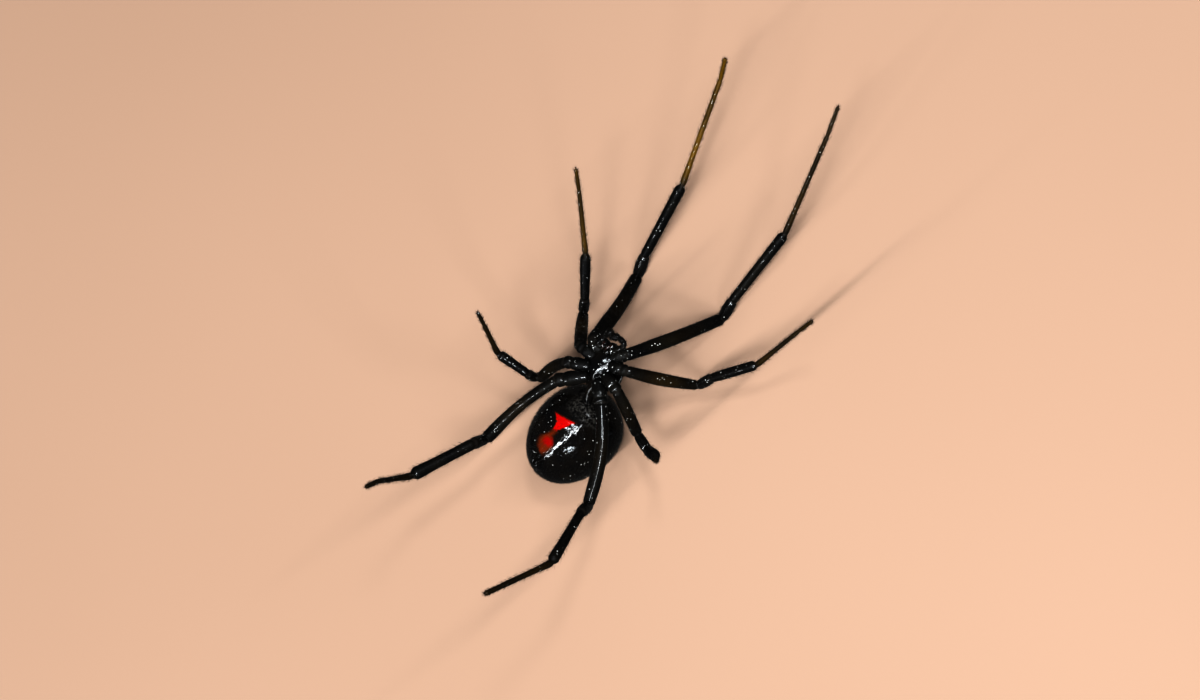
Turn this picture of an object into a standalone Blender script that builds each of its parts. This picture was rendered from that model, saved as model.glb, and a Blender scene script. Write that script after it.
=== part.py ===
# Black widow spider, adult female, life size, lying on its back with the red hourglass up.
# All sizes are in millimetres and become metres as each piece is finished.
# +Z is up and the belly's side, +Y is towards the head, +X is the spider's own left.
# The floor is z = 0: the back of the abdomen and the knees of the first legs rest on it.

import math

import bmesh
import bpy
from mathutils import Matrix, Vector
from mathutils.bvhtree import BVHTree

MODEL_NAME = "black_widow_spider"
METRES = 0.001
GAP = 0.3
SMALL_GAP = 0.12
WELD = 0.0001
FLOOR = 0.0
SMOOTH_ANGLE = 50.0

# Abdomen: a globe a little longer than wide, fuller towards its front, with a flatter belly there
ABDOMEN_CENTRE = Vector((-0.06, -0.09, 3.74))
ABDOMEN_HALF_WIDTH = 3.02
ABDOMEN_HALF_LENGTH = 3.95
ABDOMEN_HALF_DEPTH = 3.5
ABDOMEN_TILT = -17.5
ABDOMEN_FRONT_SWELL = 0.22
BELLY_FLATTENING = 0.155
BELLY_SIDE_SHARE = 0.6
ABDOMEN_SEGMENTS = 36
ABDOMEN_RINGS = 20

# Hourglass mark on the belly: its outline seen from above, clockwise from the front left corner
HOURGLASS_OUTLINE = [
    (-1.08, 0.79), (-0.14, 0.97), (0.74, 1.14), (0.6, 0.81), (0.44, 0.47), (0.3, 0.2), (0.14, -0.08),
    (0.16, -0.6), (0.46, -1.05), (0.56, -1.4), (0.28, -1.99), (-0.05, -2.25), (-0.45, -2.15), (-0.95, -1.75),
    (-1.0, -1.4), (-0.6, -0.82), (-0.32, -0.4), (-0.32, 0.0), (-0.5, 0.38),
]
HOURGLASS_FLOOR = 6.45
HOURGLASS_THICK_FLOOR = HOURGLASS_FLOOR + SMALL_GAP
HOURGLASS_TOP = 8.0

# Spinnerets: a low mound near the hind end, with three pairs of short cones
SPINNERET_PLACE = Vector((-0.05, -2.78, 6.36))
SPINNERET_LEAN = 38.0
SPINNERET_BASE_RADIUS = 0.5
SPINNERET_BASE_TAPER = 0.8
SPINNERET_BASE_HEIGHT = 0.42
SPINNERET_PAIRS = [(0.2, 0.2, 0.17, 0.36), (0.24, -0.2, 0.15, 0.3), (0.08, 0.0, 0.09, 0.22)]
CONE_SINK = 0.1
CONE_TAPER = 0.45
CONE_SIDES = 10
CUT_REACH = 3.0
SEAT_DEPTH = 0.35

# Head part: its frame sits at the middle of the breast plate, turned a little to the right
HEAD_ORIGIN = Vector((-0.38, 5.65, 7.4))
HEAD_TURN = 8.0

CARAPACE_FRONT = 1.65
CARAPACE_BACK = -1.95
CARAPACE_EDGE_Z = -1.1
CARAPACE_STATIONS = [
    (0.0, 0.3, 0.35), (0.08, 0.95, 0.75), (0.2, 1.45, 1.1), (0.38, 1.74, 1.22), (0.55, 1.66, 1.2),
    (0.72, 1.28, 1.24), (0.86, 0.95, 1.3), (0.94, 0.84, 1.16), (1.0, 0.62, 0.8),
]
CARAPACE_RIM = 0.12
CARAPACE_POLE_SHARE = 0.4
CARAPACE_END_SWELL = 2.2
CARAPACE_SEGMENTS = 26
CARAPACE_RINGS = 18
CORE_HALF_WIDTH = 0.52
CORE_HALF_LENGTH = 0.92
CORE_TOP = -0.83
CORE_BOTTOM = -1.7

STERNUM_MIDDLE = -0.1
STERNUM_HALF_LENGTH = 1.02
STERNUM_HALF_WIDTH = 0.72
STERNUM_TAPER = 0.3
STERNUM_SQUARENESS = 0.6
STERNUM_DOME = 0.16
STERNUM_DEPTH = 0.42

PEDICEL_RADIUS = 0.33
PEDICEL_FLARE = 0.25
PEDICEL_START = (0.0, -2.2, -1.05)
PEDICEL_END = Vector((-0.05, 3.28, 5.98))

CHELICERA_ROOT = (0.25, 1.32, -0.8)
CHELICERA_TIP = (0.27, 1.62, 0.24)
CHELICERA_RADII = [0.21, 0.25, 0.25, 0.19]
CHELICERA_STEPS = 6
FANG_ROOT = (0.27, 1.53, 0.42)
FANG_BEND = (0.19, 1.32, 0.54)
FANG_TIP = (0.09, 1.1, 0.44)
FANG_RADII = [0.1, 0.075, 0.03]

PALP_RADII = [0.22, 0.23, 0.22, 0.21, 0.2, 0.14]
PALP_LEFT = [
    (0.74, 1.34, 0.12), (1.02, 1.8, 0.2), (1.09, 2.13, 0.3), (0.84, 2.39, 0.3), (0.38, 2.43, 0.27),
    (-0.05, 2.24, 0.2),
]
PALP_RIGHT = [
    (-0.72, 1.3, 0.15), (-0.62, 1.68, 0.3), (-0.47, 2.07, 0.6), (-0.1, 2.43, 1.1), (0.29, 2.62, 1.4),
]

EYE_RADIUS = 0.11
EYE_GAP = 0.05
EYE_LIGHT_START = 2.0
EYE_ROWS = {"front": (-1.62, (0.15, 0.44)), "rear": (-1.98, (0.17, 0.5))}

# Legs: the inner end of each pair's hips in the head part's frame
COXA_START = {1: (0.75, 1.05, -0.5), 2: (1.05, 0.35, -0.5), 3: (1.05, -0.6, -0.5), 4: (0.72, -1.45, -0.5)}

# Each leg's hip, knee, end of the knee piece, end of the shin, bend of the foot and tip, in the model's frame
LEG_PLACES = {
    "left_1": [
        (0.79, 7.32, 6.95), (2.51, 13.24, 0.1), (2.72, 14.84, 1.17),
        (3.75, 21.28, 3.42), (3.44, 28.8, 7.49), (3.16, 31.02, 8.57),
    ],
    "left_2": [
        (1.58, 6.45, 6.95), (4.9, 8.42, 2.06), (5.76, 9.57, 3.1),
        (8.47, 12.54, 4.47), (10.52, 16.48, 7.37), (11.31, 17.79, 8.52),
    ],
    "left_3": [
        (1.88, 4.91, 6.95), (3.88, 2.94, 3.43), (5.33, 2.54, 3.71),
        (7.02, 2.88, 6.17), (8.42, 3.1, 9.44), (8.99, 3.23, 10.82),
    ],
    "left_4": [
        (1.55, 3.45, 7.05), (5.58, -2.86, 7.3), (6.12, -3.33, 9.14),
        (7.83, -6.97, 12.42), (7.97, -9.51, 17.95), (7.98, -10.35, 19.67),
    ],
    "right_1": [
        (-1.92, 6.66, 7.1), (-4.99, 11.79, 0.08), (-5.04, 13.45, 1.26),
        (-4.75, 19.52, 4.2), (-6.36, 27.46, 6.42), (-6.14, 28.95, 8.54),
    ],
    "right_2": [
        (-2.51, 5.75, 6.95), (-6.02, 7.3, 1.93), (-5.84, 8.32, 3.63),
        (-7.12, 11.25, 5.73), (-9.15, 14.85, 8.86), (-9.83, 16.08, 10.15),
    ],
    "right_3": [
        (-2.69, 4.2, 6.95), (-4.92, 1.46, 3.99), (-5.22, 1.51, 5.47),
        (-7.45, 1.51, 7.1), (-8.25, 2.89, 10.24), (-8.71, 3.51, 11.61),
    ],
    "right_4": [
        (-2.41, 2.71, 7.0), (-4.93, -4.31, 5.26), (-4.72, -4.86, 7.09),
        (-6.0, -9.22, 9.87), (-5.24, -9.96, 15.82), (-4.94, -10.51, 17.66),
    ],
}

# How far the middle of a thigh bows away from a straight line, in the model's frame
THIGH_BOW = {
    "left_1": (0.09, -0.07, 0.09),
    "left_2": (0.04, -0.09, 0.09),
    "left_3": (0.06, 0.02, 0.07),
    "left_4": (0.36, 0.26, 0.0),
    "right_1": (0.16, 0.15, -0.06),
    "right_2": (0.01, 0.01, 0.1),
    "right_3": (-0.11, 0.17, 0.04),
    "right_4": (-0.21, 0.2, 0.07),
}
BOW_STEPS = 8

# Half thickness of each leg along its thigh, knee piece and shin, at the places below
LEG_SIZES = {
    "left_1": [[0.46, 0.517, 0.511, 0.481, 0.462, 0.44], [0.4, 0.454, 0.4], [0.345, 0.355, 0.366, 0.392]],
    "left_2": [[0.42, 0.464, 0.481, 0.449, 0.404, 0.36], [0.365, 0.412, 0.378], [0.335, 0.38, 0.376, 0.368]],
    "left_3": [[0.41, 0.44, 0.45, 0.44, 0.42, 0.41], [0.355, 0.396, 0.37], [0.38, 0.42, 0.44, 0.43]],
    "left_4": [[0.45, 0.47, 0.48, 0.48, 0.48, 0.44], [0.4, 0.437, 0.41], [0.33, 0.33, 0.362, 0.41]],
    "right_1": [[0.5, 0.559, 0.542, 0.51, 0.491, 0.46], [0.41, 0.48, 0.412], [0.36, 0.367, 0.386, 0.406]],
    "right_2": [[0.46, 0.48, 0.467, 0.46, 0.42, 0.395], [0.39, 0.405, 0.37], [0.335, 0.35, 0.392, 0.386]],
    "right_3": [[0.4, 0.42, 0.43, 0.43, 0.42, 0.4], [0.355, 0.369, 0.37], [0.335, 0.332, 0.362, 0.386]],
    "right_4": [[0.43, 0.416, 0.407, 0.443, 0.489, 0.485], [0.41, 0.435, 0.45], [0.42, 0.408, 0.43, 0.48]],
}
SIZE_PLACES = ([0.12, 0.28, 0.45, 0.65, 0.85, 0.96], [0.1, 0.5, 0.9], [0.06, 0.3, 0.6, 0.88])
END_SHARE = 0.9

# Half thickness along the hip and the foot, the same in all legs but for the pair's share at the hip
HIP_THICKNESS = {1: 1.0, 2: 0.94, 3: 0.9, 4: 1.0}
COXA_RADII = [(0.0, 0.3), (0.35, 0.4), (0.7, 0.45), (1.0, 0.43)]
FOOT_RADII = [
    (0.0, 0.26), (0.1, 0.27), (0.4, 0.26), (0.7, 0.25), (0.78, 0.25), (0.9, 0.21), (0.97, 0.17), (1.0, 0.1),
]
SEGMENT_NAMES = ("coxa", "femur", "patella", "tibia", "tarsus")
SEGMENT_RINGS = (5, 10, 6, 8, 12)
JOINT_BEND_RADIUS = 0.45
BEND_STEPS = 6


def clear_scene():
    for thing in list(bpy.data.objects):
        bpy.data.objects.remove(thing, do_unlink=True)


def make_collection(name):
    group = bpy.data.collections.new(name)
    bpy.context.scene.collection.children.link(group)
    return group


def make_material(name, colour, roughness, metallic=0.0):
    paint = bpy.data.materials.new(name)
    paint.use_nodes = True
    shader = paint.node_tree.nodes["Principled BSDF"]
    shader.inputs["Base Color"].default_value = (*colour, 1.0)
    shader.inputs["Roughness"].default_value = roughness
    shader.inputs["Metallic"].default_value = metallic
    paint.diffuse_color = (*colour, 1.0)
    return paint


def on_head(place):
    # A place in the head part's own frame, as a place in the model
    return HEAD_ORIGIN + Matrix.Rotation(math.radians(HEAD_TURN), 3, "Z") @ Vector(place)


def blend_table(table, place):
    # A smooth value between the rows of a table of (place, value)
    for (start, low), (end, high) in zip(table, table[1:]):
        if place <= end:
            share = max(0.0, (place - start) / (end - start))
            share = share * share * (3.0 - 2.0 * share)
            return low + (high - low) * share
    return table[-1][1]


def largest_body(mesh):
    # Only the largest closed surface of a mesh is kept
    bm = bmesh.new()
    bm.from_mesh(mesh)
    bmesh.ops.remove_doubles(bm, verts=bm.verts, dist=WELD)
    left = set(bm.faces)
    bodies = []
    while left:
        seed = left.pop()
        body = {seed}
        front = [seed]
        while front:
            face = front.pop()
            for edge in face.edges:
                for other in edge.link_faces:
                    if other in left:
                        left.discard(other)
                        body.add(other)
                        front.append(other)
        bodies.append(body)
    keep = max(bodies, key=lambda body: sum(face.calc_area() for face in body))
    spare = [face for face in bm.faces if face not in keep]
    bmesh.ops.delete(bm, geom=spare, context="FACES")
    bmesh.ops.recalc_face_normals(bm, faces=bm.faces)
    bm.to_mesh(mesh)
    bm.free()


def add_object(name, mesh, group):
    thing = bpy.data.objects.new(name, mesh)
    group.objects.link(thing)
    return thing


def object_from_bmesh(name, bm, group):
    mesh = bpy.data.meshes.new(name)
    bmesh.ops.recalc_face_normals(bm, faces=bm.faces)
    bm.to_mesh(mesh)
    bm.free()
    return add_object(name, mesh, group)


def combine(target, others, operation):
    # One exact Boolean with a collection of closed meshes, applied, and the pieces removed
    tools = bpy.data.collections.new(target.name + "_tools")
    for other in others:
        tools.objects.link(other)
    step = target.modifiers.new("combine", "BOOLEAN")
    step.operation = operation
    step.operand_type = "COLLECTION"
    step.collection = tools
    step.solver = "EXACT"
    bpy.context.view_layer.update()
    depsgraph = bpy.context.evaluated_depsgraph_get()
    result = bpy.data.meshes.new_from_object(target.evaluated_get(depsgraph))
    target.modifiers.clear()
    target.data = result
    for other in others:
        bpy.data.objects.remove(other, do_unlink=True)
    bpy.data.collections.remove(tools)
    largest_body(target.data)


def cut_below(thing, height):
    # Takes away what lies below a level plane, and closes the cut with one flat face
    bm = bmesh.new()
    bm.from_mesh(thing.data)
    geometry = bm.verts[:] + bm.edges[:] + bm.faces[:]
    bmesh.ops.bisect_plane(
        bm, geom=geometry, dist=WELD, plane_co=(0.0, 0.0, height), plane_no=(0.0, 0.0, 1.0),
        clear_inner=True,
    )
    rim = [edge for edge in bm.edges if edge.is_boundary]
    if rim:
        bmesh.ops.edgeloop_fill(bm, edges=rim)
    bmesh.ops.recalc_face_normals(bm, faces=bm.faces)
    bm.to_mesh(thing.data)
    bm.free()


def finish(thing, paint, place=(0.0, 0.0, 0.0), soft=True):
    # The piece gets its own origin, its size in metres, smooth shading and its finish
    origin = Vector(place)
    thing.data.transform(Matrix.Translation(-origin))
    thing.data.transform(Matrix.Scale(METRES, 4))
    thing.location = origin * METRES
    thing.data.materials.clear()
    thing.data.materials.append(paint)
    if soft:
        thing.data.shade_smooth()
        thing.data.set_sharp_from_angle(angle=math.radians(SMOOTH_ANGLE))
    thing.parent = root
    return thing


def tube(name, places, radii, group, resolution=3):
    # A tube of changing thickness along a row of places, made from a curve with filled caps
    curve = bpy.data.curves.new(name, "CURVE")
    curve.dimensions = "3D"
    curve.bevel_depth = 1.0
    curve.bevel_resolution = resolution
    curve.use_fill_caps = True
    line = curve.splines.new("POLY")
    line.points.add(len(places) - 1)
    for point, place, radius in zip(line.points, places, radii):
        point.co = (*place, 1.0)
        point.radius = radius
    holder = bpy.data.objects.new(name, curve)
    group.objects.link(holder)
    bpy.context.view_layer.update()
    depsgraph = bpy.context.evaluated_depsgraph_get()
    mesh = bpy.data.meshes.new_from_object(holder.evaluated_get(depsgraph))
    bpy.data.objects.remove(holder, do_unlink=True)
    bpy.data.curves.remove(curve)
    bm = bmesh.new()
    bm.from_mesh(mesh)
    bmesh.ops.remove_doubles(bm, verts=bm.verts, dist=WELD)
    bmesh.ops.recalc_face_normals(bm, faces=bm.faces)
    bm.to_mesh(mesh)
    bm.free()
    return add_object(name, mesh, group)


def smooth_line(places, steps=6):
    # A smooth curve through a few places
    padded = [places[0] * 2 - places[1]] + list(places) + [places[-1] * 2 - places[-2]]
    line = []
    for index in range(len(places) - 1):
        before, start, end, after = padded[index:index + 4]
        for step in range(steps):
            share = step / steps
            line.append(0.5 * (
                2 * start + (end - before) * share
                + (2 * before - 5 * start + 4 * end - after) * share ** 2
                + (3 * start - before - 3 * end + after) * share ** 3
            ))
    line.append(places[-1].copy())
    return line


def ball(name, group, segments, rings, shape):
    # A globe whose poles lie fore and aft, pushed into shape by a function of its unit points
    bm = bmesh.new()
    bmesh.ops.create_uvsphere(bm, u_segments=segments, v_segments=rings, radius=1.0)
    bmesh.ops.rotate(bm, verts=bm.verts, matrix=Matrix.Rotation(math.radians(-90.0), 3, "X"))
    for vert in bm.verts:
        vert.co = shape(vert.co.normalized())
    return object_from_bmesh(name, bm, group)


def abdomen_shape(unit):
    swell = 1.0 + ABDOMEN_FRONT_SWELL * ((unit.y + 1.0) / 2.0) ** 2
    flatter = BELLY_FLATTENING * max(0.0, unit.z) * min(1.0, max(0.0, unit.y + 0.5))
    place = Vector((
        unit.x * ABDOMEN_HALF_WIDTH * swell * (1.0 - BELLY_SIDE_SHARE * flatter),
        unit.y * ABDOMEN_HALF_LENGTH,
        unit.z * ABDOMEN_HALF_DEPTH * swell * (1.0 - flatter),
    ))
    return ABDOMEN_CENTRE + Matrix.Rotation(math.radians(ABDOMEN_TILT), 3, "X") @ place


def widened(outline, grow):
    # The outline moved outwards by the same distance on every side
    moved = []
    for index, place in enumerate(outline):
        here = Vector(place)
        before = (here - Vector(outline[index - 1])).normalized()
        after = (Vector(outline[(index + 1) % len(outline)]) - here).normalized()
        outward = Vector((-before.y - after.y, before.x + after.x)).normalized()
        moved.append(here + outward * grow / max(0.5, outward.dot(Vector((-before.y, before.x)))))
    return moved


def hourglass_prism(name, group, grow, low):
    # The mark's outline as an upright prism
    bm = bmesh.new()
    corners = [bm.verts.new((place.x, place.y, low)) for place in widened(HOURGLASS_OUTLINE, grow)]
    face = bm.faces.new(corners)
    raised = bmesh.ops.extrude_face_region(bm, geom=[face])
    lifted = [item for item in raised["geom"] if isinstance(item, bmesh.types.BMVert)]
    bmesh.ops.translate(bm, verts=lifted, vec=(0.0, 0.0, HOURGLASS_TOP - low))
    return object_from_bmesh(name, bm, group)


def seat_matrix():
    return Matrix.Translation(SPINNERET_PLACE) @ Matrix.Rotation(math.radians(SPINNERET_LEAN), 4, "X")


def plug(name, group, radius, top_radius, low, high, matrix, sides=20):
    bm = bmesh.new()
    bmesh.ops.create_cone(
        bm, cap_ends=True, segments=sides, radius1=radius, radius2=top_radius, depth=high - low,
        matrix=matrix @ Matrix.Translation((0.0, 0.0, (high + low) / 2)),
    )
    return object_from_bmesh(name, bm, group)


def build_abdomen(group, tools):
    abdomen = ball("abdomen", group, ABDOMEN_SEGMENTS, ABDOMEN_RINGS, abdomen_shape)
    cut_below(abdomen, FLOOR)
    mark = add_object("hourglass_mark", abdomen.data.copy(), group)
    combine(mark, [hourglass_prism("mark_core", tools, 0.0, HOURGLASS_THICK_FLOOR)], "INTERSECT")
    recess = hourglass_prism("mark_recess", tools, SMALL_GAP, HOURGLASS_FLOOR)
    seat_radius = SPINNERET_BASE_RADIUS + GAP
    seat = plug("spinneret_seat", tools, seat_radius, seat_radius, -SEAT_DEPTH, CUT_REACH, seat_matrix())
    combine(abdomen, [recess, seat], "DIFFERENCE")
    finish(abdomen, black_gloss)
    finish(mark, red_mark)


def build_spinnerets(group, tools):
    frame = seat_matrix()
    base_low = GAP - SEAT_DEPTH
    base_high = base_low + SPINNERET_BASE_HEIGHT
    top_radius = SPINNERET_BASE_RADIUS * SPINNERET_BASE_TAPER
    base = plug("spinnerets", group, SPINNERET_BASE_RADIUS, top_radius, base_low, base_high, frame)
    cones = []
    for across, along, radius, height in SPINNERET_PAIRS:
        for side in (-1, 1):
            spot = frame @ Matrix.Translation((side * across, along, 0.0))
            low = base_low + CONE_SINK
            high = base_high + height
            cones.append(plug("cone", tools, radius, radius * CONE_TAPER, low, high, spot, CONE_SIDES))
    combine(base, cones, "UNION")
    finish(base, black_gloss, SPINNERET_PLACE)


def carapace_shape(unit):
    along = (unit.y + 1.0) / 2.0
    width = blend_table([(row[0], row[1]) for row in CARAPACE_STATIONS], along)
    height = blend_table([(row[0], row[2]) for row in CARAPACE_STATIONS], along)
    ring = math.hypot(unit.x, unit.z)
    y = CARAPACE_BACK + along * (CARAPACE_FRONT - CARAPACE_BACK)
    middle = CARAPACE_EDGE_Z - height * CARAPACE_POLE_SHARE
    if ring < WELD:
        return on_head((0.0, y, middle))
    lift = unit.z / ring
    swell = min(1.0, ring * CARAPACE_END_SWELL)
    edge = CARAPACE_EDGE_Z - CARAPACE_RIM + lift * (CARAPACE_RIM if lift > 0 else height)
    return on_head((unit.x / ring * width * swell, y, middle + (edge - middle) * swell))


def build_carapace(group, tools):
    carapace = ball("carapace", group, CARAPACE_SEGMENTS, CARAPACE_RINGS, carapace_shape)
    bm = bmesh.new()
    bmesh.ops.create_cone(bm, cap_ends=True, segments=20, radius1=1.0, radius2=0.85, depth=1.0)
    for vert in bm.verts:
        level = CORE_TOP if vert.co.z > 0 else CORE_BOTTOM
        along = vert.co.y * CORE_HALF_LENGTH + STERNUM_MIDDLE
        vert.co = on_head((vert.co.x * CORE_HALF_WIDTH, along, level))
    core = object_from_bmesh("core", bm, tools)
    combine(carapace, [core], "UNION")
    bm = bmesh.new()
    bm.from_mesh(carapace.data)
    surface = BVHTree.FromBMesh(bm)
    bm.free()
    build_eyes(group, surface)
    finish(carapace, black_gloss, HEAD_ORIGIN)


def build_eyes(group, surface):
    # Two rows of four small domes on the front of the head
    ahead = on_head((0.0, 1.0, 0.0)) - HEAD_ORIGIN
    for row, (level, offsets) in EYE_ROWS.items():
        for place, offset in zip(("inner", "outer"), offsets):
            for side, sign in (("left", 1), ("right", -1)):
                start = on_head((sign * offset, CARAPACE_FRONT + EYE_LIGHT_START, level))
                hit, normal, _, _ = surface.ray_cast(start, -ahead)
                turn = normal.to_track_quat("Z", "Y").to_matrix().to_4x4()
                bm = bmesh.new()
                bmesh.ops.create_uvsphere(bm, u_segments=12, v_segments=8, radius=EYE_RADIUS)
                geometry = bm.verts[:] + bm.edges[:] + bm.faces[:]
                bmesh.ops.bisect_plane(
                    bm, geom=geometry, dist=WELD, plane_co=(0, 0, 0), plane_no=(0, 0, 1), clear_inner=True,
                )
                bmesh.ops.edgeloop_fill(bm, edges=[edge for edge in bm.edges if edge.is_boundary])
                spot = Matrix.Translation(hit + normal * EYE_GAP) @ turn
                bmesh.ops.transform(bm, verts=bm.verts, matrix=spot)
                eye = object_from_bmesh("eye_%s_%s_%s" % (row, place, side), bm, group)
                finish(eye, eye_gloss, hit)


def sternum_shape(unit):
    flat = math.hypot(unit.x, unit.y)
    spread = flat ** STERNUM_SQUARENESS / max(flat, WELD)
    x = unit.x * spread
    y = unit.y * spread
    level = unit.z * (STERNUM_DOME if unit.z > 0 else STERNUM_DEPTH)
    width = STERNUM_HALF_WIDTH * (1.0 + STERNUM_TAPER * y)
    return on_head((x * width, y * STERNUM_HALF_LENGTH + STERNUM_MIDDLE, level - STERNUM_DOME))


def build_sternum(group):
    bm = bmesh.new()
    bmesh.ops.create_uvsphere(bm, u_segments=24, v_segments=12, radius=1.0)
    for vert in bm.verts:
        vert.co = sternum_shape(vert.co.normalized())
    sternum = object_from_bmesh("sternum", bm, group)
    finish(sternum, black_gloss, HEAD_ORIGIN)


def build_pedicel(group):
    start = on_head(PEDICEL_START)
    places = smooth_line([start, start.lerp(PEDICEL_END, 0.5), PEDICEL_END], 3)
    shares = [2.0 * index / (len(places) - 1) - 1.0 for index in range(len(places))]
    radii = [PEDICEL_RADIUS * (1.0 + PEDICEL_FLARE * abs(share)) for share in shares]
    finish(tube("pedicel", places, radii, group), black_gloss, start)


def mirrored(place, sign):
    return on_head((place[0] * sign, place[1], place[2]))


def spread_radii(table, count):
    # The thickness at evenly spaced places, from a short list
    rows = [(index / (len(table) - 1), value) for index, value in enumerate(table)]
    return [blend_table(rows, step / (count - 1)) for step in range(count)]


def build_mouthparts(group):
    for side, sign in (("left", 1), ("right", -1)):
        root_place = mirrored(CHELICERA_ROOT, sign)
        tip_place = mirrored(CHELICERA_TIP, sign)
        places = [root_place.lerp(tip_place, step / CHELICERA_STEPS) for step in range(CHELICERA_STEPS + 1)]
        jaw = tube("chelicera_" + side, places, spread_radii(CHELICERA_RADII, len(places)), group)
        finish(jaw, black_gloss, root_place)
        route = [mirrored(FANG_ROOT, sign), mirrored(FANG_BEND, sign), mirrored(FANG_TIP, sign)]
        places = smooth_line(route, 4)
        fang = tube("fang_" + side, places, spread_radii(FANG_RADII, len(places)), group, 2)
        finish(fang, fang_brown, places[0])
    for side, route in (("left", PALP_LEFT), ("right", PALP_RIGHT)):
        places = smooth_line([on_head(place) for place in route], 4)
        palp = tube("pedipalp_" + side, places, spread_radii(PALP_RADII, len(places)), group)
        finish(palp, black_gloss, places[0])


def rounded_leg(corners, bow):
    # The leg's middle line with a bowed thigh and round bends, and how far along each joint lies
    line = [corners[0]]
    joints = []
    for before, corner, after in zip(corners, corners[1:], corners[2:]):
        into = (corner - before).normalized()
        out = (after - corner).normalized()
        bend = into.angle(out)
        reach = JOINT_BEND_RADIUS * math.tan(bend / 2.0)
        start = corner - into * reach
        if len(joints) == 1:
            hip = line[-1].copy()
            for step in range(1, BOW_STEPS):
                share = step / BOW_STEPS
                line.append(hip.lerp(start, share) + bow * math.sin(math.pi * share))
        joints.append(len(line) + BEND_STEPS // 2)
        inward = (out - into * into.dot(out)).normalized()
        for step in range(BEND_STEPS + 1):
            turn = bend * step / BEND_STEPS
            around = into * math.sin(turn) + inward * (1.0 - math.cos(turn))
            line.append(start + around * JOINT_BEND_RADIUS)
    line.append(corners[-1])
    distances = [0.0]
    for first, second in zip(line, line[1:]):
        distances.append(distances[-1] + (second - first).length)
    marks = [0.0] + [distances[joint] for joint in joints] + [distances[-1]]
    return line, distances, marks


def place_along(line, distances, wanted):
    for index in range(len(line) - 1):
        if wanted <= distances[index + 1] or index == len(line) - 2:
            span = distances[index + 1] - distances[index]
            share = (wanted - distances[index]) / span if span else 0.0
            return line[index].lerp(line[index + 1], share)


def segment_radii(name, index):
    # The table of one segment: the hip and the foot have their own, the rest goes by the leg's sizes
    if index == 0:
        share = HIP_THICKNESS[int(name[-1])]
        return [(place, radius * share) for place, radius in COXA_RADII]
    if index == 4:
        return FOOT_RADII
    sizes = LEG_SIZES[name][index - 1]
    inner = list(zip(SIZE_PLACES[index - 1], sizes))
    return [(0.0, sizes[0] * END_SHARE)] + inner + [(1.0, sizes[-1] * END_SHARE)]


def build_leg(name, group):
    side, number = name.split("_")
    sign = 1 if side == "left" else -1
    corners = [mirrored(COXA_START[int(number)], sign)] + [Vector(place) for place in LEG_PLACES[name]]
    line, distances, marks = rounded_leg(corners, Vector(THIGH_BOW[name]))
    marks = marks[:5] + marks[-1:]
    for index, (segment, rings) in enumerate(zip(SEGMENT_NAMES, SEGMENT_RINGS)):
        start = marks[index] + (GAP / 2 if index else 0.0)
        end = marks[index + 1] - (GAP / 2 if index < 4 else 0.0)
        count = rings + 1
        shares = [step / rings for step in range(count)]
        places = [place_along(line, distances, start + (end - start) * share) for share in shares]
        widths = [blend_table(segment_radii(name, index), share) for share in shares]
        piece = tube("leg_%s_%s" % (name, segment), places, widths, group)
        if min(vert.co.z for vert in piece.data.vertices) < FLOOR:
            cut_below(piece, FLOOR)
        paint = leg_brown if segment == "tarsus" else leg_black
        finish(piece, paint, places[0])


clear_scene()
parts = make_collection(MODEL_NAME)
cutters = make_collection("cutters")
root = bpy.data.objects.new("spider_frame", None)
parts.objects.link(root)

black_gloss = make_material("black_gloss", (0.006, 0.006, 0.007), 0.16)
leg_black = make_material("leg_black", (0.01, 0.009, 0.007), 0.22)
leg_brown = make_material("leg_brown", (0.05, 0.026, 0.012), 0.3)
red_mark = make_material("red_mark", (0.72, 0.01, 0.006), 0.2)
eye_gloss = make_material("eye_gloss", (0.012, 0.012, 0.014), 0.05)
fang_brown = make_material("fang_brown", (0.09, 0.02, 0.01), 0.18)

build_abdomen(parts, cutters)
build_spinnerets(parts, cutters)
build_carapace(parts, cutters)
build_sternum(parts)
build_pedicel(parts)
build_mouthparts(parts)
for leg_name in LEG_PLACES:
    build_leg(leg_name, parts)
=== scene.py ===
# Looks of the life-size black widow spider model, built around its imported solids.
# Lengths here are in millimetres until a piece is made.
# +Z is up and the belly's side, +Y is towards the head, +X is the spider's own left.

import math

import bpy
import numpy as np
from mathutils import Matrix, Vector


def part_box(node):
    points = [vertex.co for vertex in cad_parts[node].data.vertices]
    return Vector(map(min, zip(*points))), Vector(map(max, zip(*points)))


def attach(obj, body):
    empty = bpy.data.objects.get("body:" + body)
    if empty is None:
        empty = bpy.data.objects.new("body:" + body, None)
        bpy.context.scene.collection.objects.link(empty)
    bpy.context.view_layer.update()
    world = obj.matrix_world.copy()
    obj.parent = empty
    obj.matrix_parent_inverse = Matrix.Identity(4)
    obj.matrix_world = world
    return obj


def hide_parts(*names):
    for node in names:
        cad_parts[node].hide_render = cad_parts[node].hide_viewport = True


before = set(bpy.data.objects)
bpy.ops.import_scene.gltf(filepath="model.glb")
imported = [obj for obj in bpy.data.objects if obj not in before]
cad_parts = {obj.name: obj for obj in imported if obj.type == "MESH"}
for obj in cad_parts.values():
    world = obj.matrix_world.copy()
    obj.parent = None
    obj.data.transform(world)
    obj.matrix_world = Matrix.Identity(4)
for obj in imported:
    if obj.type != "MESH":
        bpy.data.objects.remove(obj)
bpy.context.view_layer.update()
millimetre = 0.001
fullTurn = 2.0 * math.pi
floorGap = 0.002  # the skins stop this far above the floor
chance = np.random.default_rng(41)  # every random draw comes from here, in the order of the script


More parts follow.
